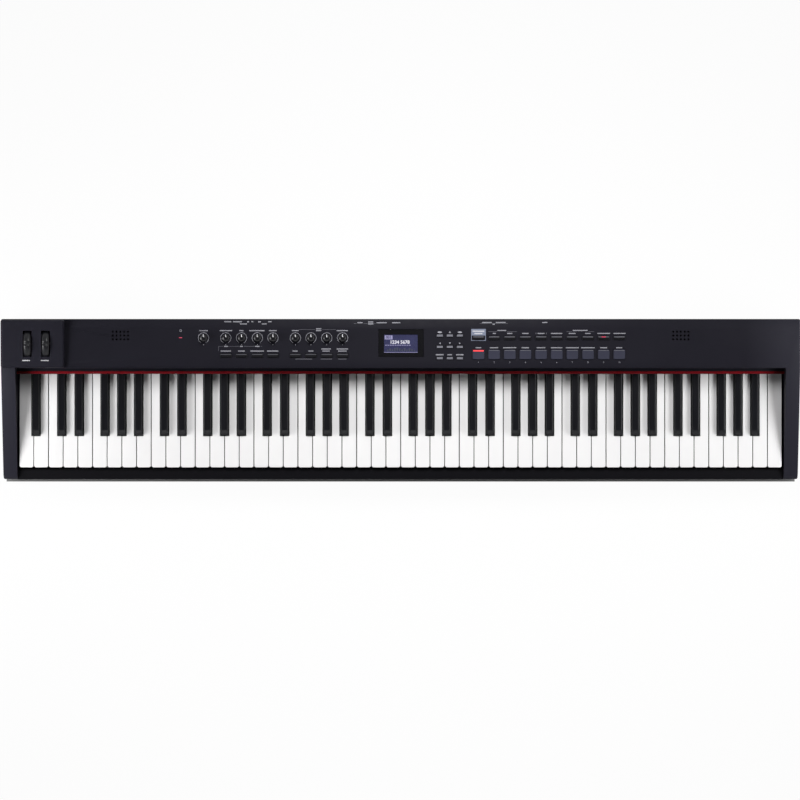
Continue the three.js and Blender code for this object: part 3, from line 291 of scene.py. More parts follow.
class Solids:
    """Closed solids, in millimetres, that together make one piece."""

    def __init__(self):
        self.corners = []
        self.faces = []

    def add(self, corners, faces):
        start = len(self.corners)
        self.corners += corners
        self.faces += [tuple(start + i for i in face) for face in faces]
        return self

    def loft(self, rings, closed=False):
        """Rings of as many points each, joined in turn, with both ends capped unless it closes."""
        count, size = len(rings), len(rings[0])
        faces = []
        for i in range(count if closed else count - 1):
            a, b = i * size, (i + 1) % count * size
            faces += [(a + j, a + (j + 1) % size, b + (j + 1) % size, b + j) for j in range(size)]
        if not closed:
            last = (count - 1) * size
            faces += [tuple(range(size))[::-1], tuple(range(last, last + size))]
        return self.add([tuple(point) for ring in rings for point in ring], faces)

    def prism(self, outline, low, high):
        """An outline seen from above, between two heights or functions of the place."""
        def ring(level):
            return [(x, y, level(x, y) if callable(level) else level) for x, y in outline]
        return self.loft([ring(low), ring(high)])

    def box(self, x, y, z):
        return self.prism([(x[0], y[0]), (x[1], y[0]), (x[1], y[1]), (x[0], y[1])], *z)

    def band(self, centre, radii, degrees, z, steps=24):
        """A flat arc between two radii."""
        rings = []
        for i in range(steps + 1):
            angle = math.radians(degrees[0] + (degrees[1] - degrees[0]) * i / steps)
            c, s = math.cos(angle), math.sin(angle)
            inner, lit_ends = [(centre[0] + r * c, centre[1] + r * s) for r in radii]
            rings.append([(*inner, z[0]), (*lit_ends, z[0]), (*lit_ends, z[1]), (*inner, z[1])])
        return self.loft(rings)

    def turned(self, profile, axis="z", centre=(0, 0, 0), steps=48, shape=None):
        """A profile of (radius, height) turned about an axis. shape may change a point's radius."""
        rings = []
        for i in range(steps):
            angle = math.tau * i / steps
            ring = []
            for radius, height in profile:
                r = shape(radius, height, angle) if shape else radius
                u, v = r * math.cos(angle), r * math.sin(angle)
                point = {"x": (height, u, v), "y": (v, height, u), "z": (u, v, height)}[axis]
                ring.append(tuple(a + b for a, b in zip(point, centre)))
            rings.append(ring)
        return self.loft(rings, closed=True)

    def piece(self, name, finish, body, stands_for=(), slot=None, bevel=0.0, sharp=35):
        mesh = bpy.data.meshes.new(name)
        mesh.from_pydata([Vector(c) * MM for c in self.corners], [], self.faces)
        work = bmesh.new()
        work.from_mesh(mesh)
        bmesh.ops.remove_doubles(work, verts=work.verts, dist=WELD)
        bmesh.ops.dissolve_degenerate(work, edges=work.edges, dist=WELD)
        bmesh.ops.recalc_face_normals(work, faces=work.faces)
        work.to_mesh(mesh)
        work.free()
        mesh.polygons.foreach_set("use_smooth", [True] * len(mesh.polygons))
        mesh.set_sharp_from_angle(angle=math.radians(sharp))
        mesh.materials.append(finish)
        obj = bpy.data.objects.new(name, mesh)
        bpy.context.scene.collection.objects.link(obj)
        if bevel:
            rounding(obj, bevel)
        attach(obj, body)
        if stands_for:
            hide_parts(*stands_for)


def rounding(obj, width, segments=2, angle=35):
    bevel = obj.modifiers.new("rounded_edges", "BEVEL")
    bevel.width = width * MM
    bevel.segments = segments
    bevel.limit_method = "ANGLE"
    bevel.angle_limit = math.radians(angle)
    bevel.use_clamp_overlap = False
    bevel.harden_normals = True


def dress(finish, *names, bevel=0.0, segments=2, angle=35):
    """Gives CAD nodes a finish, and rounds their edges when asked."""
    for name in names:
        obj = frame["nodes"][name]
        obj.data.materials.clear()
        obj.data.materials.append(finish)
        if not bevel:
            continue
        if "custom_normal" in obj.data.attributes:
            obj.data.attributes.remove(obj.data.attributes["custom_normal"])
        obj.data.polygons.foreach_set("use_smooth", [True] * len(obj.data.polygons))
        weld = obj.modifiers.new("joined_corners", "WELD")
        weld.merge_threshold = WELD * 10
        rounding(obj, bevel, segments, angle)


FIGURE_DEPTH = 0.08


def numeral(text, size, place, finish, name, body, bold=0.0):
    """Plain figures lying flat, centred on a place."""
    curve = bpy.data.curves.new(name, "FONT")
    curve.body = text
    curve.size = size * MM
    curve.align_x = "CENTER"
    curve.align_y = "CENTER"
    curve.extrude = FIGURE_DEPTH * MM
    curve.offset = bold * MM
    source = bpy.data.objects.new(name, curve)
    mesh = bpy.data.meshes.new_from_object(source)
    bpy.data.objects.remove(source)
    mesh.transform(Matrix.Translation(Vector(place) * MM))
    mesh.name = name
    mesh.materials.clear()
    mesh.materials.append(finish)
    obj = bpy.data.objects.new(name, mesh)
    bpy.context.scene.collection.objects.link(obj)
    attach(obj, body)


# Places, from the boxes of CAD nodes

def box(node):
    low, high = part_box(node)
    return low / MM, high / MM


def middle(node):
    low, high = box(node)
    return (low + high) / 2


POD_LOW, POD_HIGH = box("wheel_pod")
PANEL_Z = box("display_window")[1].z
# The panel's front edge and rear edge, and the slope that its last stretch falls by.
FRONT_Y = POD_LOW.y - 0.3
REAR_Y = box("top_case")[1].y
BEVEL_DEPTH = 12
BEVEL_START_Y = REAR_Y - BEVEL_DEPTH
BEVEL_SLOPE = 2 / BEVEL_DEPTH
# The pod's top is highest at the rear.
POD_TOP_Z = 154
POD_SLOPE = 5.5 / (POD_HIGH.y - POD_LOW.y)
# Printing stands this far above a surface and reaches this far into it.
PRINT = 0.06
SUNK = 0.2


def panel(x, y):
    """Height of the panel's surface at a place."""
    return PANEL_Z - max(0.0, y - BEVEL_START_Y) * BEVEL_SLOPE


def pod_top(x, y):
    return POD_TOP_Z - (POD_HIGH.y - y) * POD_SLOPE


def over(surface, rise):
    return lambda x, y: surface(x, y) + rise


def printed(solids, outline, surface=panel):
    """Printing, whose places are measured from the middle and from the panel's front edge."""
    places = [(x, y + FRONT_Y) for x, y in outline]
    solids.prism(places, over(surface, -SUNK), over(surface, PRINT))


def bar(solids, x, y, surface=panel):
    """A printed rectangle."""
    printed(solids, [(x[0], y[0]), (x[1], y[0]), (x[1], y[1]), (x[0], y[1])], surface)


DASH_PITCH = 1.55
DASH_SHARE = 0.76


def word(solids, x, y, height, surface=panel):
    """A row of plain dashes where a real panel has a word."""
    count = max(1, round((x[1] - x[0]) / DASH_PITCH))
    step = (x[1] - x[0]) / count
    for i in range(count):
        start = x[0] + i * step
        bar(solids, (start, start + step * DASH_SHARE), (y - height / 2, y + height / 2), surface)


# CAD nodes that stay, with better finishes

NODES = list(frame["nodes"])
PADS = range(1, 11)
dress(case_plastic, "top_case", bevel=0.35)
dress(pod_plastic, "wheel_pod")
dress(lower_plastic, "bottom_case", bevel=0.6)
dress(rail_plastic, "front_rail", bevel=0.5)
FIXED_WHITES = [n for n in NODES if n.startswith("white_keys")]
PLAYED_WHITES = [f"key_{step}4" for step in "cdefgab"]
BLACKS = [n for n in NODES if n.startswith("black_keys") or "_sharp" in n]
dress(white_key, *FIXED_WHITES, *PLAYED_WHITES, bevel=0.85)
dress(black_key, *BLACKS, bevel=0.9, segments=3, angle=20)
dress(steel, "wheel_bracket")
dress(chassis_paint, "keybed_chassis")
dress(board_mask, "panel_board", "key_contact_board")
dress(socket_board, "main_board")
dress(window_acrylic, "display_window", bevel=0.3)
dress(button_plastic, "lcd_module")
dress(button_plastic, "function_buttons_left", "function_buttons_right", bevel=0.35)
# Painted shade: the keypad's caps are dark around the pale bars on their tops, for the shade on the caps'
# front slopes.
dress(button_plastic, "cursor_keypad", bevel=0.35)
dress(cone_paper, "speaker_left", "speaker_right")
dress(pad_rubber, *[f"pad_{number}" for number in PADS], bevel=0.5, segments=3)
dress(plate_paint, "rear_jack_panel")
dress(button_plastic, "power_switch", bevel=0.4)


# Felt

def felt_band():
    """The felt with rounded edges and an uneven nap that stays below the solid's top."""
    low, high = box("felt_strip")
    steps, round_steps = 620, 4
    corner, lowered = 0.9, 0.12
    rings = []
    for i in range(steps + 1):
        x = low.x + (high.x - low.x) * i / steps
        nap = 0.07 * math.sin(i * 1.7) + 0.05 * math.sin(i * 4.3 + 1)
        ring = [(x, low.y, low.z), (x, high.y, low.z)]
        for side, start in ((high.y - corner, 0), (low.y + corner, 90)):
            for k in range(round_steps + 1):
                angle = math.radians(start + 90 * k / round_steps)
                y = side + corner * math.cos(angle)
                z = high.z - corner + corner * math.sin(angle)
                ring.append((x, y, z - lowered + nap * math.sin(angle)))
        rings.append(ring)
    Solids().loft(rings).piece("felt_band", felt_wool, "case", ["felt_strip"], "felt", sharp=60)


felt_band()


# Knobs

KNOBS = [n for n in NODES if n.startswith("knob_")]
KNOB_LIFT = 1
FLUTES = 18
FLUTE_DEPTH = 0.32
DOME_RADIUS = 8.84
DOME_TOP = 11.94
POINTER_HALF = 0.55


def fluted(radius, height, angle):
    """Radius of the cap, cut back by the flutes on its side."""
    if radius < 5.5 or height < 2.2 or height > 9.6:
        return radius
    return radius - FLUTE_DEPTH * (0.5 - 0.5 * math.cos(FLUTES * angle)) ** 2


def dome(reach):
    """Height of the cap's domed top at a distance from its axis."""
    return DOME_TOP - DOME_RADIUS + math.sqrt(DOME_RADIUS ** 2 - reach ** 2)


def knob(node):
    centre = middle(node)
    base_z = PANEL_Z + KNOB_LIFT
    shaft_end, shaft = box(node)[0].z - base_z, 3
    profile = [
        (0, shaft_end), (shaft, shaft_end), (shaft, 0), (6.05, 0), (6.4, 0.35), (6.4, 1.5),
        (6.1, 1.9), (5.95, 2.3), (5.7, 9.2), (5.55, 9.8),
    ]
    profile += [(reach, dome(reach)) for reach in (5.35, 5.0, 4.5, 3.9, 3.2, 2.4, 1.6, 0.8, 0)]
    cap = Solids().turned(profile, centre=(centre.x, centre.y, base_z), steps=108, shape=fluted)
    cap.piece(f"{node}_cap", knob_plastic, node, [node], "knob", sharp=50)
    left, right = centre.x - POINTER_HALF, centre.x + POINTER_HALF
    rings = []
    for reach in (1.9, 2.6, 3.3, 4.0, 4.6, 5.1):
        y, z = centre.y + reach, base_z + dome(reach)
        rings.append([(left, y, z - 0.5), (right, y, z - 0.5), (right, y, z + 0.05), (left, y, z + 0.05)])
    pointer = Solids().loft(rings)
    pointer.box((left, right), (centre.y + 4.8, centre.y + 5.8), (base_z + 5, base_z + 10.1))
    pointer.piece(f"{node}_pointer", print_white, node)


for name in KNOBS:
    knob(name)


# Wheels

WHEEL_RADIUS = 24
WHEEL_BORE = 2.8
RIM_RADIUS = 22.4
DIP_DEPTH, DIP_REACH = 1.45, 2.3
RIDGE_DEPTH, RIDGES = 0.28, 60
SHOULDER = 3.2


def wheel(node):
    """A wheel with rounded shoulders, a ridged tread and a dip for the finger at the top."""
    low, high = box(node)
    axis = ((low.x + high.x) / 2, (low.y + high.y) / 2, low.z + WHEEL_RADIUS)
    half = (high.x - low.x) / 2

    def shaped(radius, height, angle):
        if radius < RIM_RADIUS - 0.1:
            return radius
        around_top = (angle - math.pi / 2) * WHEEL_RADIUS
        dip = DIP_DEPTH * math.exp(-((around_top / DIP_REACH) ** 2))
        if abs(height) >= half - SHOULDER:
            return radius - dip
        return radius - dip - RIDGE_DEPTH * (0.5 + 0.5 * math.cos(RIDGES * angle))

    # Radius, and distance in from the wheel's side.
    side = [(WHEEL_BORE, 0), (13, 0), (13.6, 0.7), (20.4, 0.7), (21, 0)]
    tread = [(RIM_RADIUS, 0), (22.75, 0.3), (23.2, 0.9), (23.55, 1.6), (23.82, 2.4), (23.96, SHOULDER)]
    profile = [(radius, -half + inward) for radius, inward in side + tread]
    mirrored = [(radius, -height) for radius, height in reversed(profile)]
    tyre = Solids().turned(profile + [(WHEEL_RADIUS, 0)] + mirrored, "x", axis, 240, shaped)
    tyre.piece(f"{node}_tyre", wheel_rubber, node, [node], "wheel_rubber", sharp=40)


wheel("pitch_wheel")
wheel("mod_wheel")


# Feet

def rubber_foot(node):
    """A foot with a screw well and a ring groove in its sole."""
    centre, top = middle(node), box(node)[1].z
    profile = [
        (0, 1.4), (3.2, 1.4), (3.4, 0.2), (3.7, 0), (7.2, 0), (7.4, 0.5), (8.0, 0.5), (8.2, 0),
        (10.6, 0), (11.5, 0.35), (11.95, 1.5), (10.9, 8.2), (10.5, 9.7), (10.5, top), (0, top),
    ]
    foot = Solids().turned(profile, centre=(centre.x, centre.y, 0))
    foot.piece(f"{node}_rubber", foot_rubber, "case", [node], "foot_rubber")


for name in [n for n in NODES if n.startswith("foot_")]:
    rubber_foot(name)


# Screen

SCREEN_X = (-26.6, 27.4)
SCREEN_Y = (FRONT_Y + 23.6, FRONT_Y + 53.6)
SCREEN_Z = box("lcd_module")[1].z - 0.6
WINDOW_MARGIN = 0.4


def window_mask():
    """The dark border printed under the window, around the lit screen."""
    low, high = box("display_window")
    levels = (low.z + 0.15, low.z + 0.35)
    left, right = low.x + WINDOW_MARGIN, high.x - WINDOW_MARGIN
    near, far = low.y + WINDOW_MARGIN, high.y - WINDOW_MARGIN
    mask = Solids()
    mask.box((left, right), (near, SCREEN_Y[0]), levels)
    mask.box((left, right), (SCREEN_Y[1], far), levels)
    mask.box((left, SCREEN_X[0]), SCREEN_Y, levels)
    mask.box((SCREEN_X[1], right), SCREEN_Y, levels)
    mask.piece("window_mask", button_plastic, "case")


def screen_bars():
    """A small field, a line along the bottom and a row of dashes."""
    low_y, high_y = SCREEN_Y
    levels = (SCREEN_Z, SCREEN_Z + 0.2)
    pitch, dash = 3.8, 2.8
    light = Solids().box((-25.6, -13.0), (high_y - 7.7, high_y - 1.3), levels)
    light.box(SCREEN_X, (low_y + 0.7, low_y + 1.8), levels)
    for i in range(11):
        start = -24.8 + i * pitch
        light.box((start, start + dash), (low_y + 12.4, low_y + 13.6), levels)
    light.piece("lcd_bars", lcd_light, "case")


def screen_figures():
    """Small figures in the field, and large ones in the middle of the screen."""
    low_y, high_y = SCREEN_Y
    small, large = (-19.3, high_y - 4.5, SCREEN_Z + 0.24), (-1.4, low_y + 17.7, SCREEN_Z + 0.14)
    numeral("001", 5.6, small, lcd_blue, "lcd_box_figures", "case", bold=0.12)
    numeral("1234 5678", 7.4, large, lcd_white, "lcd_figures", "case", bold=0.22)


def screen_levels():
    """A row of level bars of different heights."""
    bottom = SCREEN_Y[0] + 3.3
    pitch, wide, rise = 3.9, 2.4, 0.9
    bars = Solids()
    for i, level in enumerate((3, 5, 4, 6, 7, 5, 4, 6, 3, 5, 4, 2)):
        start = -22 + i * pitch
        bars.box((start, start + wide), (bottom, bottom + level * rise), (SCREEN_Z, SCREEN_Z + 0.2))
    bars.piece("lcd_levels", print_blue, "case")


glow = Solids().box(SCREEN_X, SCREEN_Y, (SCREEN_Z - 0.3, SCREEN_Z + 0.1))
glow.piece("lcd_glow", lcd_blue, "case", slot="lcd")
window_mask()
screen_bars()
screen_figures()
screen_levels()


# Panel printing

KNOB_ARC = (8.1, 8.65)
KNOB_TICK = (8.0, 9.3)
TICK_HALF = 0.22


def knob_scales():
    """An arc with ticks around each knob, and a mark in front of it."""
    ticks = Solids()
    levels = (PANEL_Z - SUNK, PANEL_Z + PRINT)
    near, far = KNOB_TICK
    corners = ((near, -TICK_HALF), (far, -TICK_HALF), (far, TICK_HALF), (near, TICK_HALF))
    for node in KNOBS:
        centre = middle(node)
        row = centre.y - FRONT_Y
        ticks.band((centre.x, centre.y), KNOB_ARC, (-52, 232), levels, 40)
        for degrees in range(-60, 241, 30):
            c, s = math.cos(math.radians(degrees)), math.sin(math.radians(degrees))
            printed(ticks, [(centre.x + r * c - w * s, row + r * s + w * c) for r, w in corners])
        bar(ticks, (centre.x - 0.45, centre.x + 0.45), (row - 11.6, row - 10.2))
    ticks.piece("knob_scales", print_grey, "case")


WORD_HEIGHT = 1.6
SMALL_WORD_HEIGHT = 1.3
LARGE_WORD_HEIGHT = 1.9
LINE_WIDTH = 0.5
# How far a row is behind the panel's front edge, and where its words or lines start and end along X.
WORD_ROWS = {
    60.0: (
        (-323.6, -309.9), (-290.6, -270.5), (-258.9, -252.5), (-243.1, -218.7), (-211.5, -198.9),
        (-174.6, -163.7), (-102.7, -84.4),
    ),
    34.7: ((-283.4, -276.9), (-258.1, -253.3), (-234.0, -226.7)),
    27.2: (
        (-289.1, -272.6), (-261.2, -250.4), (-241.1, -219.5), (-214.7, -196.5), (-173.5, -165.4),
        (-148.2, -139.9), (-125.5, -113.6), (-100.4, -86.5),
    ),
    30.5: ((-127.3, -111.9), (-102.7, -84.2)),
    62.9: ((-135.8, -127.3),),
    60.1: ((-135.8, -127.3),),
    74.3: ((-283.4, -271.9), (-269.4, -254.9), (-229.1, -224.3), (-213.1, -207.3)),
    70.8: ((-258.1, -246.8), (-223.0, -215.2)),
    72.7: ((-69.4, -60.9), (-38.7, -22.1), (-13.6, -0.2)),
    73.9: ((-52.2, -43.7),),
    70.9: ((-52.2, -43.7),),
    73.1: ((130.9, 146.6), (153.1, 168.7), (227.7, 236.2)),
    70.3: ((148.0, 151.4),),
    55.5: (
        (148.4, 153.1), (171.4, 179.8), (195.5, 205.7), (220.4, 231.4), (241.7, 259.9),
        (270.3, 281.4), (296.9, 305.4), (316.5, 336.8), (342.4, 361.7),
    ),
    60.3: ((155.8, 169.8), (276.8, 300.7)),
}
LINE_ROWS = {
    61.5: ((-163.2, -137.2), (-125.9, -104.2)),
    34.5: ((-292.7, -285.0), (-275.4, -259.6), (-251.8, -235.5), (-225.2, -222.6)),
    71.2: ((-75, -70.6), (-59.8, -53.4), (-42.5, -39.8), (127, 172.5)),
    58.1: ((140.8, 154.6), (171.0, 186.4), (266.6, 275.6), (301.9, 311.0)),
}
PAD_WORD_WIDTHS = (9.2, 13.5, 21.2, 12.1, 13.8, 18.5, 20.8, 21.7, 11.1, 9.8)


def panel_words():
    bright, dim = Solids(), Solids()
    for row, places in WORD_ROWS.items():
        for x in places:
            word(bright, x, row, WORD_HEIGHT)
    for x in ((-169.1, -142.1), (-128.4, -110.1), (-100.1, -86.6)):
        word(dim, x, 14.3, SMALL_WORD_HEIGHT)
    for x in ((-246.8, -243.6), (-240.0, -236.8)):
        bar(bright, x, (73.6, 75.0))
    for row, places in LINE_ROWS.items():
        for x in places:
            bar(dim, x, (row, row + LINE_WIDTH))
    bar(dim, (-292.9, -292.4), (27.1, 35.0))
    for x in ((217.1, 218.0), (233.8, 234.7)):
        bar(dim, x, (54.1, 56.9))
    for number, width in enumerate(PAD_WORD_WIDTHS, 1):
        x = middle(f"pad_{number}").x
        word(bright, (x - width / 2, x + width / 2), 32.5, WORD_HEIGHT)
        place = (x, FRONT_Y + 9.0, PANEL_Z)
        numeral(str(number), 3.4, place, print_grey, f"pad_{number}_figure", "case")
    bright.piece("panel_words", print_grey, "case")
    dim.piece("panel_lines", print_dim, "case")


KEYPAD_PITCH = (16.1, 18.2)
CAP_TOP_HALF = (4.8, 1.65)


def keypad_signs():
    """A pale bar on the top of each of the nine caps, and behind each cap an oval, an arrow or a word."""
    signs, cap_tops = Solids(), Solids()
    low, high = box("cursor_keypad")
    middle_x, middle_y = (low.x + high.x) / 2, (low.y + high.y) / 2
    columns = [middle_x + step * KEYPAD_PITCH[0] for step in (-1, 0, 1)]
    rows = [middle_y - FRONT_Y + step * KEYPAD_PITCH[1] for step in (-1, 0, 1)]
    half_x, half_y = CAP_TOP_HALF
    for x in columns:
        for row in rows:
            y = (row + FRONT_Y - half_y, row + FRONT_Y + half_y)
            # The pale bars stand for the caps' light grey tops. The rest of each cap is dark as painted
            # shade.
            cap_tops.box((x - half_x, x + half_x), y, (high.z - 0.4, high.z + 0.06))
    left, x, right = columns
    row = rows[2] + 5.3
    for place in (left, right):
        angles = [math.tau * i / 20 for i in range(20)]
        printed(signs, [(place + 3.4 * math.cos(a), row + 1.35 * math.sin(a)) for a in angles])
    printed(signs, [(x - 1.8, row - 1.1), (x + 1.8, row - 1.1), (x, row + 1.9)])
    row = rows[1] + 5.7
    printed(signs, [(left - 1.3, row), (left + 1.3, row - 1.5), (left + 1.3, row + 1.5)])
    printed(signs, [(x - 1.5, row + 1.4), (x, row - 1.4), (x + 1.5, row + 1.4)])
    printed(signs, [(right - 1.3, row - 1.5), (right + 1.3, row), (right - 1.3, row + 1.5)])
    for x, half in zip(columns, (6.3, 3.5, 6.0)):
        word(signs, (x - half, x + half), rows[0] + 5.6, LARGE_WORD_HEIGHT)
    signs.piece("keypad_signs", print_grey, "case")
    cap_tops.piece("keypad_cap_tops", cap_top_plastic, "case", bevel=0.05)


def pod_words():
    marks = Solids()
    for x in ((-607.3, -594.9), (-577.7, -564.7)):
        word(marks, x, 11.9, WORD_HEIGHT, pod_top)
    marks.piece("pod_words", print_white, "case")


def power_light():
    """The power sign on the panel, and the small lens in front of it."""
    sign = Solids()
    x, y = -353.6, FRONT_Y + 60.1
    levels = (PANEL_Z - SUNK, PANEL_Z + PRINT)
    sign.band((x, y), (1.5, 1.95), (125, 415), levels, 24)
    sign.box((x - 0.22, x + 0.22), (y + 0.5, y + 2.2), levels)
    sign.piece("power_sign", print_grey, "case")
    lens = Solids().box((x - 2.4, x + 2.4), (y - 12.1, y - 10.9), (PANEL_Z - 1, PANEL_Z + 0.35))
    lens.piece("power_lens", led_red_dim, "case", bevel=0.2)


knob_scales()
panel_words()
keypad_signs()
pod_words()
power_light()


# Button strips, the framed button and the lit pads

LEFT_BUTTONS = [middle(n).x for n in KNOBS if n != "knob_volume"]
RIGHT_BUTTONS = [middle(f"pad_{number}").x for number in PADS]
STRIP_HALF = 8.3
LIGHT_HALF = 3.2
PAD_BAR_HALF = 8.4


def button_strips():
    """A pale strip on each thin button, and a light over the last strip but one."""
    top = box("function_buttons_left")[1].z
    rows = {"left": (LEFT_BUTTONS, dark_lens), "right": (RIGHT_BUTTONS, strip_lens)}
    for side, (columns, finish) in rows.items():
        y = middle(f"function_buttons_{side}").y
        strips = Solids()
        for x in columns:
            strips.box((x - STRIP_HALF, x + STRIP_HALF), (y + 1.0, y + 2.4), (top - 0.4, top + 0.1))
        strips.piece(f"button_strips_{side}", finish, "case", bevel=0.08)
    x, y = RIGHT_BUTTONS[8], middle("function_buttons_right").y
    light = Solids().box((x - LIGHT_HALF, x + LIGHT_HALF), (y + 1.0, y + 2.4), (top - 0.4, top + 0.14))
    light.piece("button_light", led_red_dim, "case", bevel=0.1)


def framed_button():
    """A frame around one button, whose filled head holds two rows of words."""
    left, right, near, far = 113.4, 137.0, 43.7, 62.7
    line, head = 1.0, 10.6
    lines = Solids()
    bar(lines, (left, right), (near, near + line))
    bar(lines, (left, right), (far - line, far))
    bar(lines, (left, left + line), (near + line, far - line))
    bar(lines, (right - line, right), (near + line, far - line))
    bar(lines, (left + line, right - line), (far - head, far - line))
    lines.piece("button_frame", print_blue, "case")
    words = Solids()
    surface = over(panel, 0.05)
    word(words, (left + 2.4, right - 2.4), far - 3.7, LARGE_WORD_HEIGHT, surface)
    word(words, (left + 5.4, right - 5.4), far - 7.4, LARGE_WORD_HEIGHT, surface)
    words.piece("button_frame_words", print_white, "case")


def pad_bars():
    """A bar along the rear of each pad. The first one is lit and wider."""
    for number in PADS:
        node = f"pad_{number}"
        centre, top = middle(node), box(node)[1].z
        finish, depth = (led_red, 2.0) if number == 1 else (strip_lens, 0.9)
        x, rear = (centre.x - PAD_BAR_HALF, centre.x + PAD_BAR_HALF), centre.y + 6.9
        strip = Solids().box(x, (rear - depth, rear), (top - 0.5, top + 0.12))
        strip.piece(f"{node}_bar", finish, node, bevel=0.1)


button_strips()
framed_button()
pad_bars()


# Rear panel

OPENINGS = {}
for opening in frame["record"]["physics"]["openings"]:
    OPENINGS[opening["name"]] = [[value / MM for value in corner] for corner in opening["box_m"]]
PLATE_LOW, PLATE_HIGH = box("rear_jack_panel")
SOCKET_Z = (PLATE_LOW.z + PLATE_HIGH.z) / 2


def socket_x(name):
    low, high = OPENINGS[name]
    return (low[0] + high[0]) / 2


def ring(solids, x, inner, lit_ends, depth, sides=None):
    """A washer around a socket, or a nut when it has sides, standing on the rear plate."""
    near, far = PLATE_HIGH.y, PLATE_HIGH.y + depth
    chamfer = 0.3
    profile = [
        (inner, near), (lit_ends, near), (lit_ends, far - chamfer),
        (lit_ends - chamfer, far), (inner + chamfer, far), (inner, far - chamfer),
    ]

    def sided(radius, height, angle):
        if radius < (inner + lit_ends) / 2:
            return radius
        turn = angle % (math.tau / sides) - math.pi / sides
        return min(radius, lit_ends * math.cos(math.pi / sides) / math.cos(turn))

    solids.turned(profile, "y", (x, 0, SOCKET_Z), shape=sided if sides else None)


def rear_details():
    """Nuts and rings around the sockets, and the inserts and pins in them."""
    nuts, rings, inserts = Solids(), Solids(), Solids()
    y = PLATE_HIGH.y
    insert = [(0, y - 7.5), (6.3, y - 7.5), (6.3, y - 5.6), (0, y - 5.6)]
    pin = [(0, y - 6), (0.5, y - 6), (0.5, y - 1.6), (0, y - 1)]
    power_pin = [(0, y - 7), (0.8, y - 7), (0.8, y - 0.6), (0, y)]
    pin_circle = 3.6
    for name in OPENINGS:
        x = socket_x(name)
        if name.startswith("jack"):
            ring(nuts, x, 5.0, 7.0, 1.3, sides=6)
            ring(rings, x, 2.95, 5.2, 2.5)
        if name.startswith("midi"):
            ring(rings, x, 6.2, 8.0, 2.3)
            inserts.turned(insert, "y", (x, 0, SOCKET_Z))
            for k in range(5):
                angle = math.radians(180 + 45 * k)
                place = (x + pin_circle * math.cos(angle), 0, SOCKET_Z + pin_circle * math.sin(angle))
                nuts.turned(pin, "y", place, 12)
    x = socket_x("power_socket_1")
    ring(rings, x, 2.9, 5.0, 2.4)
    nuts.turned(power_pin, "y", (x, 0, SOCKET_Z), 16)
    nuts.piece("socket_nuts", nickel, "case")
    rings.piece("socket_rings", socket_plastic, "case")
    inserts.piece("socket_inserts", socket_plastic, "case")


def rear_words():
    """A row of dashes over each socket."""
    marks = Solids()
    y = (PLATE_HIGH.y - SUNK, PLATE_HIGH.y + PRINT)
    z = (SOCKET_Z + 10.6, SOCKET_Z + 12.0)
    row, dashes = 7.2, 5.4
    for name in OPENINGS:
        if name == "playing_space":
            continue
        x = socket_x(name)
        count = 3 if name.startswith(("jack", "midi")) else 2
        for i in range(count):
            start = x - row / 2 + i * row / count
            marks.box((start, start + dashes / count), y, z)
    marks.piece("rear_words", print_grey, "case")


def screw(solids, place, radius, axis="y", sign=1):
    """A pan head with a cross recess. The sign says which way along the axis it looks."""
    head = [
        (0, -0.4 * sign), (radius, -0.4 * sign), (radius, 0.35 * sign), (radius * 0.8, 0.75 * sign),
        (radius * 0.45, 0.9 * sign), (radius * 0.3, 0.45 * sign), (0, 0.45 * sign),
    ]

    def cross(r, height, angle):
        if r > radius * 0.5 or r == 0:
            return r
        return r * (1.35 if abs(math.cos(2 * angle)) > 0.8 else 0.75)

    solids.turned(head, axis, place, 40, cross)


def rear_screws():
    screws = Solids()
    inset = 7
    for x in (-312, -240.5, -80, -18, 60, 110, 190, 256):
        screw(screws, (x, PLATE_HIGH.y, PLATE_LOW.z + inset), 2.1)
        screw(screws, (x, PLATE_HIGH.y, PLATE_HIGH.z - inset), 2.1)
    screws.piece("rear_screws", screw_black, "case")


def switch_sign():
    """The line on the rocker's lower half."""
    x = middle("power_switch").x
    y, z = (REAR_Y - 3.1, REAR_Y - 2.3), (SOCKET_Z - 5.6, SOCKET_Z - 2.6)
    Solids().box((x - 0.35, x + 0.35), y, z).piece("switch_sign", print_white, "power_switch")


def under_screws():
    screws = Solids()
    z = box("bottom_case")[0].z
    for x in (-600, -380, -130, 130, 380, 600):
        for y in (-112, 116):
            screw(screws, (x, y, z), 3.4, "z", -1)
    screws.piece("under_screws", screw_black, "case")


rear_details()
rear_words()
rear_screws()
switch_sign()
under_screws()


# Camera, floor and light

camera_data = bpy.data.cameras.new("camera")
camera_data.lens = 266.0
camera_data.sensor_width = 36
camera = bpy.data.objects.new("camera", camera_data)
camera.location = (-0.001, -0.00085, 9.64)
bpy.context.scene.collection.objects.link(camera)
bpy.context.scene.camera = camera


def math_node(tree, operation):
    node = tree.nodes.new("ShaderNodeMath")
    node.operation = operation
    return node


def light_path_white(tree):
    """One where a camera, glossy or transmission ray looks, and zero for the light itself."""
    path = tree.nodes.new("ShaderNodeLightPath")
    largest = path.outputs["Is Camera Ray"]
    for name in ("Is Glossy Ray", "Is Transmission Ray"):
        node = math_node(tree, "MAXIMUM")
        tree.links.new(largest, node.inputs[0])
        tree.links.new(path.outputs[name], node.inputs[1])
        largest = node.outputs[0]
    return largest


WORLD_LIGHT = 0.035
SEEN_LOW, SEEN_HIGH = 1.0, 0.12


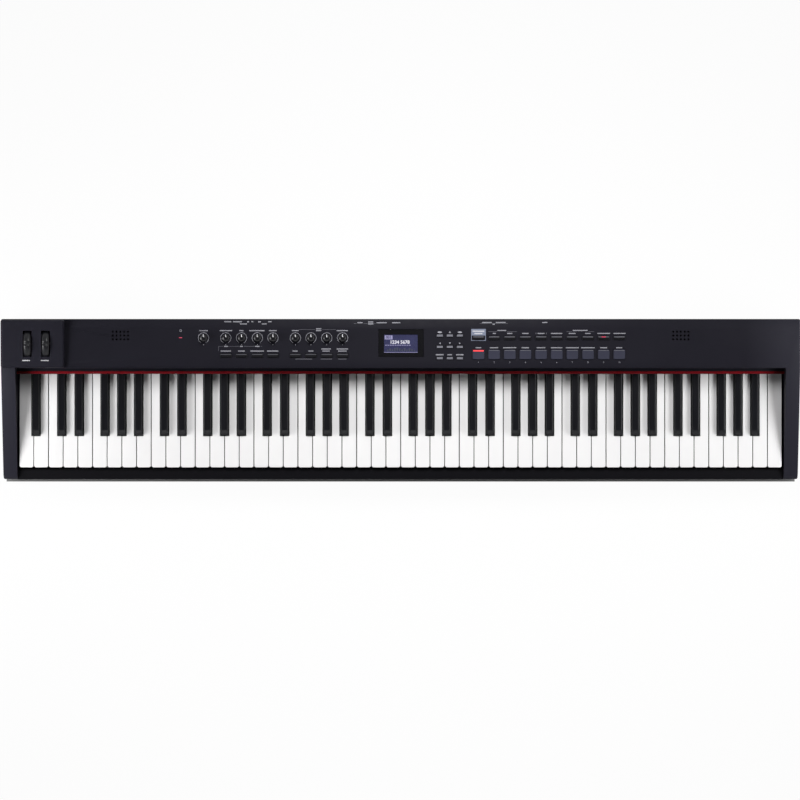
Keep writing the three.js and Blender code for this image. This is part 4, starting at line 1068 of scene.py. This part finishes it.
def make_world():
    """A dim white world that looks white near the horizon and darker overhead."""
    world = bpy.data.worlds.new("studio")
    world.use_nodes = True
    bpy.context.scene.world = world
    tree = world.node_tree
    nodes, links = tree.nodes, tree.links
    light = nodes["Background"]
    light.inputs["Color"].default_value = (1, 1, 1, 1)
    light.inputs["Strength"].default_value = WORLD_LIGHT
    seen = nodes.new("ShaderNodeBackground")
    seen.inputs["Color"].default_value = (1, 1, 1, 1)
    place = nodes.new("ShaderNodeTexCoord")
    parts = nodes.new("ShaderNodeSeparateXYZ")
    height = nodes.new("ShaderNodeMapRange")
    height.inputs["From Min"].default_value = 0.35
    height.inputs["From Max"].default_value = 0.85
    height.inputs["To Min"].default_value = SEEN_LOW
    height.inputs["To Max"].default_value = SEEN_HIGH
    links.new(place.outputs["Generated"], parts.inputs["Vector"])
    links.new(parts.outputs["Z"], height.inputs["Value"])
    links.new(height.outputs["Result"], seen.inputs["Strength"])
    mix = nodes.new("ShaderNodeMixShader")
    links.new(light_path_white(tree), mix.inputs[0])
    links.new(light.outputs[0], mix.inputs[1])
    links.new(seen.outputs[0], mix.inputs[2])
    links.new(mix.outputs[0], nodes["World Output"].inputs["Surface"])


def outside(tree, value, stretch):
    """How far a coordinate is past a stretch, counted from the stretch's nearer end."""
    low, high = stretch
    off, away, past = [math_node(tree, name) for name in ("SUBTRACT", "ABSOLUTE", "SUBTRACT")]
    off.inputs[1].default_value = (low + high) / 2
    past.inputs[1].default_value = (high - low) / 2
    tree.links.new(value, off.inputs[0])
    tree.links.new(off.outputs[0], away.inputs[0])
    tree.links.new(away.outputs[0], past.inputs[0])
    return past.outputs[0]


FLOOR_HALF = 12
FLOOR_WHITE = 0.96
CONTACT_REACH = 0.0045
CONTACT_EDGE = 0.0004


def make_floor():
    """A pale floor that glows, but for the part under the instrument and a line along its front, where
    its colour is painted dark as a painted shadow.
    """
    half = FLOOR_HALF
    corners = [(-half, -half, 0), (half, -half, 0), (half, half, 0), (-half, half, 0)]
    mesh = bpy.data.meshes.new("floor")
    mesh.from_pydata(corners, [], [(0, 1, 2, 3)])
    material = bpy.data.materials.new("pale_floor")
    material.use_nodes = True
    tree = material.node_tree
    nodes, links = tree.nodes, tree.links
    shader = nodes["Principled BSDF"]
    shader.inputs["Roughness"].default_value = 0.9
    shader.inputs["Specular IOR Level"].default_value = 0.1
    glow = nodes.new("ShaderNodeEmission")
    glow.inputs["Strength"].default_value = 1.0
    mix = nodes.new("ShaderNodeMixShader")
    place = nodes.new("ShaderNodeTexCoord")
    parts = nodes.new("ShaderNodeSeparateXYZ")
    farther = math_node(tree, "MAXIMUM")
    contact = nodes.new("ShaderNodeMapRange")
    contact.inputs["From Min"].default_value = -CONTACT_EDGE
    contact.inputs["From Max"].default_value = CONTACT_EDGE
    # Painted shadow: the floor's colour is 0.2 under the instrument and along its front, and 0.86
    # elsewhere.
    shade = nodes.new("ShaderNodeMix")
    shade.data_type = "RGBA"
    shade.inputs["A"].default_value = (0.2, 0.2, 0.2, 1)
    shade.inputs["B"].default_value = (0.86, 0.86, 0.86, 1)
    scale = math_node(tree, "MULTIPLY")
    scale.inputs[1].default_value = FLOOR_WHITE
    clear = math_node(tree, "MULTIPLY")
    side = cad_box[1].x
    past_side = outside(tree, parts.outputs["X"], (-side, side))
    past_front = outside(tree, parts.outputs["Y"], (cad_box[0].y - CONTACT_REACH, cad_box[1].y))
    links.new(place.outputs["Object"], parts.inputs["Vector"])
    links.new(past_side, farther.inputs[0])
    links.new(past_front, farther.inputs[1])
    links.new(farther.outputs[0], contact.inputs["Value"])
    links.new(light_path_white(tree), scale.inputs[0])
    links.new(scale.outputs[0], clear.inputs[0])
    links.new(contact.outputs["Result"], clear.inputs[1])
    links.new(clear.outputs[0], mix.inputs[0])
    links.new(contact.outputs["Result"], shade.inputs["Factor"])
    links.new(shade.outputs["Result"], shader.inputs["Base Color"])
    links.new(shader.outputs[0], mix.inputs[1])
    links.new(glow.outputs[0], mix.inputs[2])
    links.new(mix.outputs[0], nodes["Material Output"].inputs["Surface"])
    mesh.materials.append(material)
    floor = bpy.data.objects.new("floor", mesh)
    bpy.context.scene.collection.objects.link(floor)


def softbox(name, place, size, power, aim, spread=180):
    """A flat lamp in metres and watts, whose light spreads over an angle in degrees."""
    data = bpy.data.lights.new(name, "AREA")
    data.shape = "RECTANGLE"
    data.size, data.size_y = size
    data.energy = power
    data.spread = math.radians(spread)
    lamp = bpy.data.objects.new(name, data)
    lamp.location = place
    lamp.rotation_euler = (Vector(aim) - Vector(place)).to_track_quat("-Z", "Y").to_euler()
    lamp.visible_camera = False
    bpy.context.scene.collection.objects.link(lamp)


make_world()
make_floor()
softbox("softbox_main", (0.04, 1.05, 2.0), (0.6, 0.85), power=3.55, aim=(0.04, -0.03, 0.08), spread=43)
softbox("softbox_left", (-1.15, -0.12, 0.66), (0.6, 0.5), power=2.35, aim=(-0.7, -0.05, 0.08), spread=80)
softbox("softbox_right", (1.1, -0.05, 0.76), (0.6, 0.42), power=1.76, aim=(0.68, -0.05, 0.08), spread=80)
softbox("softbox_front", (-0.25, -1.2, 1.15), (2.2, 0.1), power=1.6, aim=(0, -0.05, 0.08))

bpy.context.scene.view_settings.view_transform = "Standard"
